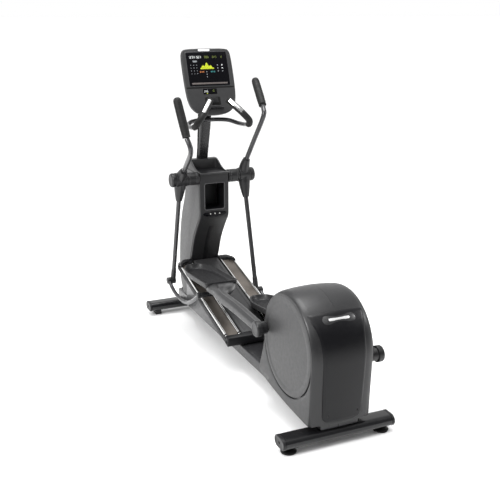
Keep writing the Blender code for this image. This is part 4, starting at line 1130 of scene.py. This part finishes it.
# A low crest runs along the top of the arm's cover, a little to its outer side.
arm_crest = 0.0035 * np.exp(-(((arm_section[:, 0] - 0.45) / 0.16) ** 2)) * (arm_section[:, 1] > 0)
for side, s in SIDES:
    body = f"{side}_pedal"
    at, roller, pin = on_arm(side, s)
    length = float(np.linalg.norm(roller - pin))
    path = [
        (0.141, 0.05, 0.012), (0.141, -0.12, 0.012), (0.134, -0.27, 0.016), (0.135, -0.345, 0.034),
        (0.158, -0.425, 0.038)
    ]
    path += [
        (0.1850, -0.470, 0.036), (0.1995, -0.515, 0.034), (0.2020, -0.60, 0.030), (0.2030, -0.75, 0.024),
        (0.2045, -length + 0.03, 0.003)
    ]
    sizes = [
        (0.030, 0.016), (0.032, 0.016), (0.062, 0.016), (0.087, 0.024), (0.064, 0.028), (0.041, 0.029),
        (0.029, 0.029), (0.028, 0.028), (0.028, 0.027), (0.027, 0.025)
    ]
    path, sizes = smooth_line(path, 7), smooth_line(sizes, 7)
    rings = []
    for (x, along, high), size in zip(path, sizes):
        section = arm_section * size + (x, high)
        section[:, 1] += arm_crest
        rings.append(at(np.insert(section, 1, along, axis=1)))
    arm_cover = closed_skin(f"{side}_pedal_arm_cover", rings, pedal_plastic, crease=50)
    fork = [at(np.insert(fork_gap, 0, x, axis=1)) for x in (0.1232, 0.1588)]
    fit(
        carve(arm_cover, closed_skin("fork_gap", fork, pedal_plastic)), body, "charcoal_plastic",
        f"{side}_pedal_arm"
    )
    boss = [
        (0.1702, 0.010), (0.1702, 0.0255), (0.1740, 0.0298), (0.2040, 0.0310), (0.2052, 0.0385),
        (0.2075, 0.0400), (0.2300, 0.0400)
    ]
    boss += [(0.2352, 0.0360), (0.2360, 0.0270), (0.2346, 0.0255), (0.2346, 0.004)]
    fit(
        turned_across(f"{side}_crank_boss", eased(boss, 0.0025, 3), s, pin, boot_plastic, 64), body,
        "charcoal_plastic"
    )
    pin_end = [(0.1666, 0.004), (0.1666, 0.0110), (0.1710, 0.0110), (0.1710, 0.004)]
    fit(turned_across(f"{side}_crank_pin", pin_end, s, pin, zinc, 24), body, "bare_steel")
    stud = [
        (0.150, 0.006), (0.150, 0.0145), (0.186, 0.0142), (0.190, 0.0156), (0.212, 0.0156), (0.2168, 0.0146),
        (0.2168, 0.006)
    ]
    stud_at = at([LINK_STUD])[0][1:]
    fit(
        turned_across(f"{side}_link_stud", eased(stud, 0.002, 3), s, stud_at, boot_plastic, 40), body,
        "charcoal_plastic"
    )
    lug = eased([(-0.264, 0.002), (-0.191, 0.002), (-0.211, -0.044), (-0.244, -0.044)], 0.014, 5, True)
    rings = [at(np.insert(lug, 0, x, axis=1)) for x in (0.1495, 0.1505, 0.1672, 0.1682)]
    fit(closed_skin(f"{side}_stud_lug", rings, boot_plastic), body, "charcoal_plastic")

    rings = [at(r) for r in tray_rings(tray_sections, 0.022)]
    fit(
        closed_skin(f"{side}_foot_tray", rings, tray_moulding, crease=45), body, "charcoal_plastic",
        f"{side}_footpad"
    )
    rings = [at(r) for r in tray_rings(mat_sections, 0.018)]
    fit(closed_skin(f"{side}_tread_mat", rings, tread_rubber), body, "black_rubber")
    for k, along in enumerate(np.linspace(HEEL + 0.050, TOE - 0.070, 15)):
        half_rib = 0.060 - 0.020 * max(0.0, along / 0.06)
        reach = (PEDAL_X - half_rib, PEDAL_X + half_rib)
        rings = [at(np.insert(tread_rib + (along, 0), 0, x, axis=1)) for x in reach]
        fit(closed_skin(f"{side}_tread_rib_{k}", rings, tread_rubber), body, "black_rubber")

    # Each roller is a rubber-tyred wheel on a steel axle, held in the fork at the front of the pedal arm.
    rim = eased(
        [
            (-0.0155, 0.008), (-0.0155, 0.0280), (-0.0135, 0.0300), (0.0135, 0.0300), (0.0155, 0.0280),
            (0.0155, 0.008)
        ],
        0.0015, 3
    )
    tyre = turned(f"{side}_roller_tyre", rim, (s * ROLLER_X, *roller), (1, 0, 0), foot_rubber, 64)
    fit(tyre, f"{side}_wheel_set", "black_rubber", f"{side}_roller")
    axle = [
        (-0.032, 0.003), (-0.032, 0.0050), (-0.0312, 0.0055), (0.0312, 0.0055), (0.032, 0.0050),
        (0.032, 0.003)
    ]
    axle_pin = turned(f"{side}_axle_pin", axle, (s * ROLLER_X, *roller), (1, 0, 0), zinc, 24)
    fit(axle_pin, f"{side}_carriage", "bare_steel", f"{side}_roller_axle")

# Console: a deep back shell and a flat face with a rounded outline, tilted towards the user. The upper part
# holds a dark display behind a lens, and the lower part a small second display, a reading ledge and a
# shallow pocket.
CONSOLE = (REAR + 1.556, 1.513)
TILT = math.radians(20.8)
console_plastic = surface(
    "console_plastic", (0.012, 0.012, 0.013), 0.38, grain=620.0, drift=0.07, wear=0.04, shine=0.4
)
console_face_plastic = surface(
    "console_face_plastic", (0.027, 0.027, 0.028), 0.42, grain=620.0, drift=0.06, wear=0.03, shine=0.35
)


def on_console(points):
    """Console points (across, up its face, out towards the user) put in place: the face leans back by
    TILT."""
    p = np.array(points, float)
    c, s = math.cos(TILT), math.sin(TILT)
    return np.column_stack(
        [p[:, 0], CONSOLE[0] + p[:, 1] * s - p[:, 2] * c, CONSOLE[1] + p[:, 1] * c + p[:, 2] * s]
    )


HALF_SHAPE = [
    (0.0, -0.172), (0.045, -0.170), (0.090, -0.160), (0.120, -0.142), (0.142, -0.108), (0.153, -0.06),
    (0.157, 0.0), (0.158, 0.08), (0.157, 0.16), (0.153, 0.205), (0.140, 0.224), (0.10, 0.229), (0.0, 0.230)
]
right = np.array(HALF_SHAPE)
corner = np.array([0.02, 0.02, 0.02, 0.02, 0.02, 0.02, 0.03, 0.03, 0.03, 0.02, 0.012, 0.02, 0.04])
whole = np.vstack([right, right[-2:0:-1] * (-1, 1)])
console_shape = eased(whole, np.concatenate([corner, corner[-2:0:-1]]), 4, True)


def console_ring(grow, out):
    """The console's outline moved out by `grow` along the rays from its middle, at this distance out."""
    middle = np.array([0.0, 0.03])
    ray = console_shape - middle
    reach = np.linalg.norm(ray, axis=1)[:, None]
    shape = middle + ray * (1 + grow / reach)
    return on_console(np.insert(shape, 2, out, axis=1))


back_steps = [
    (-0.120, -0.0850), (-0.080, -0.0850), (-0.070, -0.0843), (-0.058, -0.0815), (-0.045, -0.0750),
    (-0.030, -0.0630)
]
back_steps += [
    (-0.018, -0.0500), (-0.008, -0.0350), (-0.0025, -0.0220), (-0.0008, -0.0140), (-0.0014, -0.0124)
]
back_shell = closed_skin(
    "console_rear_shell", [console_ring(g, o) for g, o in back_steps], console_plastic, crease=55
)
fit(back_shell, "frame", "charcoal_plastic", "console_back_shell")
face_steps = [
    (-0.0016, -0.0121), (-0.0006, -0.0110), (0.0, -0.0060), (-0.0006, -0.0030), (-0.0022, -0.0010),
    (-0.0050, 0.0)
]
face_steps += [(-0.0150, 0.0), (-0.06, 0.0)]
console_front = closed_skin(
    "console_front", [console_ring(g, o) for g, o in face_steps], console_face_plastic, crease=45
)
fit(console_front, "frame", "charcoal_plastic", "console_face")


def tile(name, low, high, out, thick, material, radius=0.003, edge=0.0006, slant=0.0):
    """A flat plate on the console from (across, up) low to high, with rounded corners and a softened front
    edge. `slant` narrows its foot."""
    shape = [(low[0] + slant, low[1]), (high[0] - slant, low[1]), (high[0], high[1]), (low[0], high[1])]
    outline = eased(shape, radius, 5, True)
    top = out + thick
    steps = ((0, out), (0, top - edge), (0.3 * edge, top - 0.3 * edge), (edge, top))
    rings = [on_console(np.insert(drawn_in(outline, pull), 2, height, axis=1)) for pull, height in steps]
    return closed_skin(name, rings, material)


def lit(name, colour, strength):
    """A lit legend behind the lens: its colour glows a little, over a smooth dark base."""
    material = surface(name, colour, 0.30, relief=0.03, drift=0.05)
    shader = material.node_tree.nodes["Principled BSDF"]
    shader.inputs["Emission Color"].default_value = (*colour, 1.0)
    shader.inputs["Emission Strength"].default_value = strength
    return material


bezel = surface("display_bezel_gloss", (0.035, 0.035, 0.037), 0.30, relief=0.04, drift=0.06, shine=0.4)
lens = surface("display_lens_gloss", (0.003, 0.003, 0.004), 0.16, relief=0.02, drift=0.05, shine=0.2)
fit(
    tile("display_bezel", (-0.132, 0.001), (0.132, 0.211), -0.0004, 0.0010, bezel, 0.010, 0.0004), "frame",
    "display_glass"
)
fit(
    tile("display_glass_lens", (-0.127, 0.005), (0.127, 0.207), 0.0008, 0.0014, lens, 0.007), "frame",
    "display_glass", "display_lens"
)
white = lit("legend_white", (0.55, 0.57, 0.56), 0.15)
grey = lit("legend_grey", (0.19, 0.20, 0.21), 0.02)
green = lit("legend_green", (0.42, 0.48, 0.02), 0.30)
amber = lit("legend_amber", (0.30, 0.10, 0.03), 0.05)
faint = lit("legend_faint_green", (0.12, 0.15, 0.03), 0.03)
teal = lit("legend_teal", (0.03, 0.16, 0.16), 0.05)
strip = surface("light_strip", (0.115, 0.10, 0.095), 0.35, metal=0.2, relief=0.05, drift=0.06)
LENS_FRONT = 0.0021
SMALL_FRONT = 0.0007


def legend(name, x, up, wide, high, material, radius=0.0008, out=LENS_FRONT):
    """A thin tile of this width and height, centred at (x, up)."""
    low, top = (x - wide / 2, up - high / 2), (x + wide / 2, up + high / 2)
    fit(tile(name, low, top, out, 0.0005, material, radius, 0.0002), "frame", "display_glass")


SEGMENTS = {
    "0": "abcdef", "1": "bc", "2": "abged", "3": "abgcd", "4": "fgbc", "5": "afgcd", "6": "afgedc",
    "7": "abc", "8": "abcdefg", "9": "abcdfg"
}


def digits(name, text, x, up, high, material, out=LENS_FRONT):
    """Seven-segment figures: each lit bar is a thin tile at its place in the figure."""
    wide, thick = high * 0.5, high * 0.15
    spots = {
        "a": (0, 0.5, 1), "g": (0, 0, 1), "d": (0, -0.5, 1), "f": (-0.5, 0.25, 0), "b": (0.5, 0.25, 0),
        "e": (-0.5, -0.25, 0), "c": (0.5, -0.25, 0)
    }
    for n, figure in enumerate(text):
        centre = x + n * high * 0.78
        for segment in SEGMENTS[figure]:
            dx, du, flat = spots[segment]
            size = (wide * 0.8, thick) if flat else (thick, high * 0.42)
            legend(f"{name}_{n}_{segment}", centre + dx * wide, up + du * high, *size, material, 0.0003, out)


digits("time_figures", "1234", -0.110, 0.176, 0.014, white)
digits("speed_figures", "567", -0.060, 0.176, 0.013, white)
digits("level_figures", "080", -0.010, 0.176, 0.012, faint)
digits("pulse_figures", "045", 0.040, 0.176, 0.012, faint)
digits("power_figures", "12", 0.086, 0.176, 0.011, faint)
fit(
    tile("profile_button", (-0.092, 0.146), (-0.062, 0.156), LENS_FRONT, 0.0006, grey, 0.001, 0.0002, 0.004),
    "frame", "display_glass"
)
peak_x = np.linspace(-0.046, 0.036, 21)
peak_height = 0.006 + 0.032 * np.exp(-((peak_x + 0.006) / 0.011) ** 2) + 0.016 * (
    np.exp(-((peak_x + 0.030) / 0.010) ** 2) + np.exp(-((peak_x - 0.018) / 0.010) ** 2)
)
for k, (x, high) in enumerate(zip(peak_x, peak_height)):
    legend(f"course_bar_{k}", x, 0.104 + high / 2, 0.0031, high, green, 0.0004)
for row in range(4):
    for column in range(3):
        legend(
            f"key_{row}_{column}", -0.105 + 0.018 * column, 0.129 - 0.017 * row, 0.0042, 0.0042, grey, 0.0016
        )
for k in range(3):
    legend(f"heat_key_{k}", -0.050 + 0.010 * k, 0.088, 0.006, 0.009, amber, 0.0015)
    legend(f"cool_key_{k}", 0.018 + 0.010 * k, 0.088, 0.006, 0.009, teal, 0.0015)
    legend(f"middle_key_{k}", -0.011, 0.088 - 0.015 * k, 0.005, 0.006, grey, 0.0015)
    legend(f"right_key_{k}", 0.062, 0.127 - 0.018 * k, 0.0065, 0.0065, grey, 0.002)
    legend(f"edge_key_{k}", 0.090, 0.127 - 0.018 * k, 0.0085, 0.0055, white if k < 2 else grey, 0.002)
fit(
    tile("light_bar", (-0.112, 0.014), (0.110, 0.0235), LENS_FRONT, 0.0006, strip, 0.002, 0.0002), "frame",
    "display_glass"
)
# The seam under the display is a thin dark tile on the face: painted shadow of the deep seam line.
seam_painted_shadow = surface("seam_shadow", (0.003, 0.003, 0.003), 0.5, relief=0.05, drift=0.05, shine=0.2)
fit(
    tile("console_seam", (-0.150, -0.0095), (0.150, -0.0010), -0.0006, 0.0010, seam_painted_shadow, 0.001, 0.0002),
    "frame", "black_plastic"
)
badge_white = surface("badge_white", (0.80, 0.80, 0.81), 0.30, relief=0.04, drift=0.03)
fit(
    tile("console_badge", (-0.046, 0.2125), (0.026, 0.2245), -0.0010, 0.0020, badge_white, 0.0058, 0.0008),
    "frame", "grey_plastic"
)
fit(
    tile("small_display", (-0.050, -0.046), (0.036, -0.012), -0.0006, 0.0014, lens, 0.003), "frame",
    "display_glass"
)
digits("lower_figures", "246", -0.040, -0.029, 0.011, white, SMALL_FRONT)
digits("lower_pair", "10", 0.008, -0.026, 0.011, faint, SMALL_FRONT)
legend("lower_mark", -0.026, -0.041, 0.006, 0.004, green, out=SMALL_FRONT)

# The reading ledge stands out below the small display, and a shallow pocket lies under it; the lens-shaped
# slot there is not drawn.
ledge_plastic = surface(
    "ledge_plastic", (0.008, 0.008, 0.009), 0.42, grain=620.0, relief=0.10, wear=0.05, shine=0.35
)
fit(
    tile("reading_ledge", (-0.050, -0.134), (0.060, -0.1185), -0.002, 0.0235, ledge_plastic, 0.004, 0.003),
    "frame", "black_plastic"
)
# The pocket is a flat tile in the same painted shadow as the seam: painted shade stands for its hollow.
fit(
    tile("phone_pocket", (-0.045, -0.112), (0.050, -0.062), -0.0006, 0.0016, seam_painted_shadow, 0.008, 0.0006),
    "frame", "black_plastic"
)
fit(
    tile("phone_pocket_rest", (-0.006, -0.098), (0.034, -0.066), 0.0, 0.0040, ledge_plastic, 0.004, 0.001),
    "frame", "black_plastic"
)

# Fixed handlebar: one bent steel tube through the mast, with textured rubber grips. A polished sensor plate
# is let into each grip where the palm lies.
bar_right = [
    (0.0, 1.612, 1.312), (0.06, 1.609, 1.312), (0.12, 1.575, 1.309), (0.158, 1.520, 1.296),
    (0.169, 1.445, 1.296), (0.168, 1.3925, 1.3025)
]
bar_right = np.array(bar_right) + (0, REAR, 0)
bar_path = np.vstack([bar_right[:0:-1] * (-1, 1, 1), bar_right])
handle_paint = surface(
    "handlebar_paint", (0.022, 0.022, 0.024), 0.24, metal=0.4, grain=420.0, relief=0.03, wear=0.04,
    coat=0.25, shine=0.4
)
fit(
    swept("handlebar_tube", smooth_line(bar_path, 10), ring_of(0.0125, 28), handle_paint), "frame",
    "satin_black_paint", "fixed_handlebar"
)
sensor_steel = surface(
    "sensor_plate_steel", (0.88, 0.88, 0.88), 0.18, metal=0.9, grain=700.0, relief=0.05, drift=0.03
)
for side, s in SIDES:
    grip = np.array(
        [
            (0.1679, 1.3895, 1.3029), (0.1660, 1.367, 1.312), (0.155, 1.352, 1.336), (0.116, 1.366, 1.380),
            (0.060, 1.418, 1.440), (0.050, 1.4268, 1.450)
        ]
    )
    grip = smooth_line((grip + (0, REAR, 0)) * (s, 1, 1), 9)
    radii = np.full(len(grip), 0.0190)
    radii[0], radii[1] = 0.0150, 0.0176
    radii[-4:] = (0.0186, 0.0170, 0.0130, 0.0060)
    fit(
        swept(f"{side}_pulse_grip", grip, radii[:, None, None] * ring_of(1.0, 32), grip_rubber), "frame",
        "black_rubber", f"{side}_sensor_grip"
    )
    a, b = np.array((s * 0.119, REAR + 1.3632, 1.3772)), np.array((s * 0.061, REAR + 1.4172, 1.4390))
    along = (b - a) / np.linalg.norm(b - a)
    out = np.array((-0.30, -0.80, 0.52))
    out = out - along * (out @ along)
    out /= np.linalg.norm(out)
    side_way = np.cross(along, out)
    turn = np.radians(np.linspace(-30, 30, 11))
    rings = []
    for share, radius in (
        (0.0, 0.0188), (0.0, 0.0202), (0.012, 0.0206), (0.988, 0.0206), (1.0, 0.0202), (1.0, 0.0188)
    ):
        point = a + share * (b - a)
        skin = point + radius * (np.cos(turn)[:, None] * out + np.sin(turn)[:, None] * side_way)
        inner = point + 0.0165 * (np.cos(turn[::-1])[:, None] * out + np.sin(turn[::-1])[:, None] * side_way)
        rings.append(np.vstack([skin, inner]))
    fit(closed_skin(f"{side}_pulse_plate", rings, sensor_steel), "frame", "stainless_rail")

# Studio: a plain pale floor under even, soft light from a wide key above the user's left shoulder, a fill
# from the right and a bright surround.
floor_mesh = bpy.data.meshes.new("studio_floor")
floor_mesh.from_pydata([(-400, -400, 0), (400, -400, 0), (400, 400, 0), (-400, 400, 0)], [], [(0, 1, 2, 3)])
floor_mesh.materials.append(
    surface("studio_floor_paint", (0.93, 0.93, 0.93), 0.9, grain=40.0, relief=0.02, drift=0.01)
)
studio_floor = bpy.data.objects.new("studio_floor", floor_mesh)
bpy.context.scene.collection.objects.link(studio_floor)
world = bpy.data.worlds.new("studio")
world.use_nodes = True
sky, join = world.node_tree.nodes, world.node_tree.links
split = sky.new("ShaderNodeSeparateXYZ")
join.new(sky.new("ShaderNodeTexCoord").outputs["Generated"], split.inputs["Vector"])
fade = sky.new("ShaderNodeMapRange")
for label, number in (("From Min", -0.55), ("From Max", 0.55), ("To Min", 0.20), ("To Max", 1.0)):
    fade.inputs[label].default_value = number
join.new(split.outputs["Y"], fade.inputs["Value"])
join.new(fade.outputs["Result"], sky["Background"].inputs["Strength"])
sky["Background"].inputs["Color"].default_value = (1.0, 1.0, 1.0, 1.0)
bpy.context.scene.world = world
bpy.context.scene.view_settings.view_transform = "Standard"
for name, place, size, power in (
    ("key", (-3.6, -1.6, 3.0), 1.1, 130.0), ("fill", (3.4, -1.6, 2.6), 0.9, 45.0),
    ("top", (0.0, 0.4, 4.6), 2.4, 120.0)
):
    light_data = bpy.data.lights.new(name, "AREA")
    light_data.energy = power
    light_data.size = size
    light = bpy.data.objects.new(name, light_data)
    light.location = place
    light.rotation_euler = (Vector((0, 0, 0.7)) - Vector(place)).to_track_quat("-Z", "Y").to_euler()
    bpy.context.scene.collection.objects.link(light)

overhead_data = bpy.data.lights.new("overhead", "SUN")
overhead_data.energy = 1.9
overhead_data.angle = math.radians(70)
overhead = bpy.data.objects.new("overhead", overhead_data)
overhead.rotation_euler = (math.radians(12), math.radians(-14), 0.0)
bpy.context.scene.collection.objects.link(overhead)
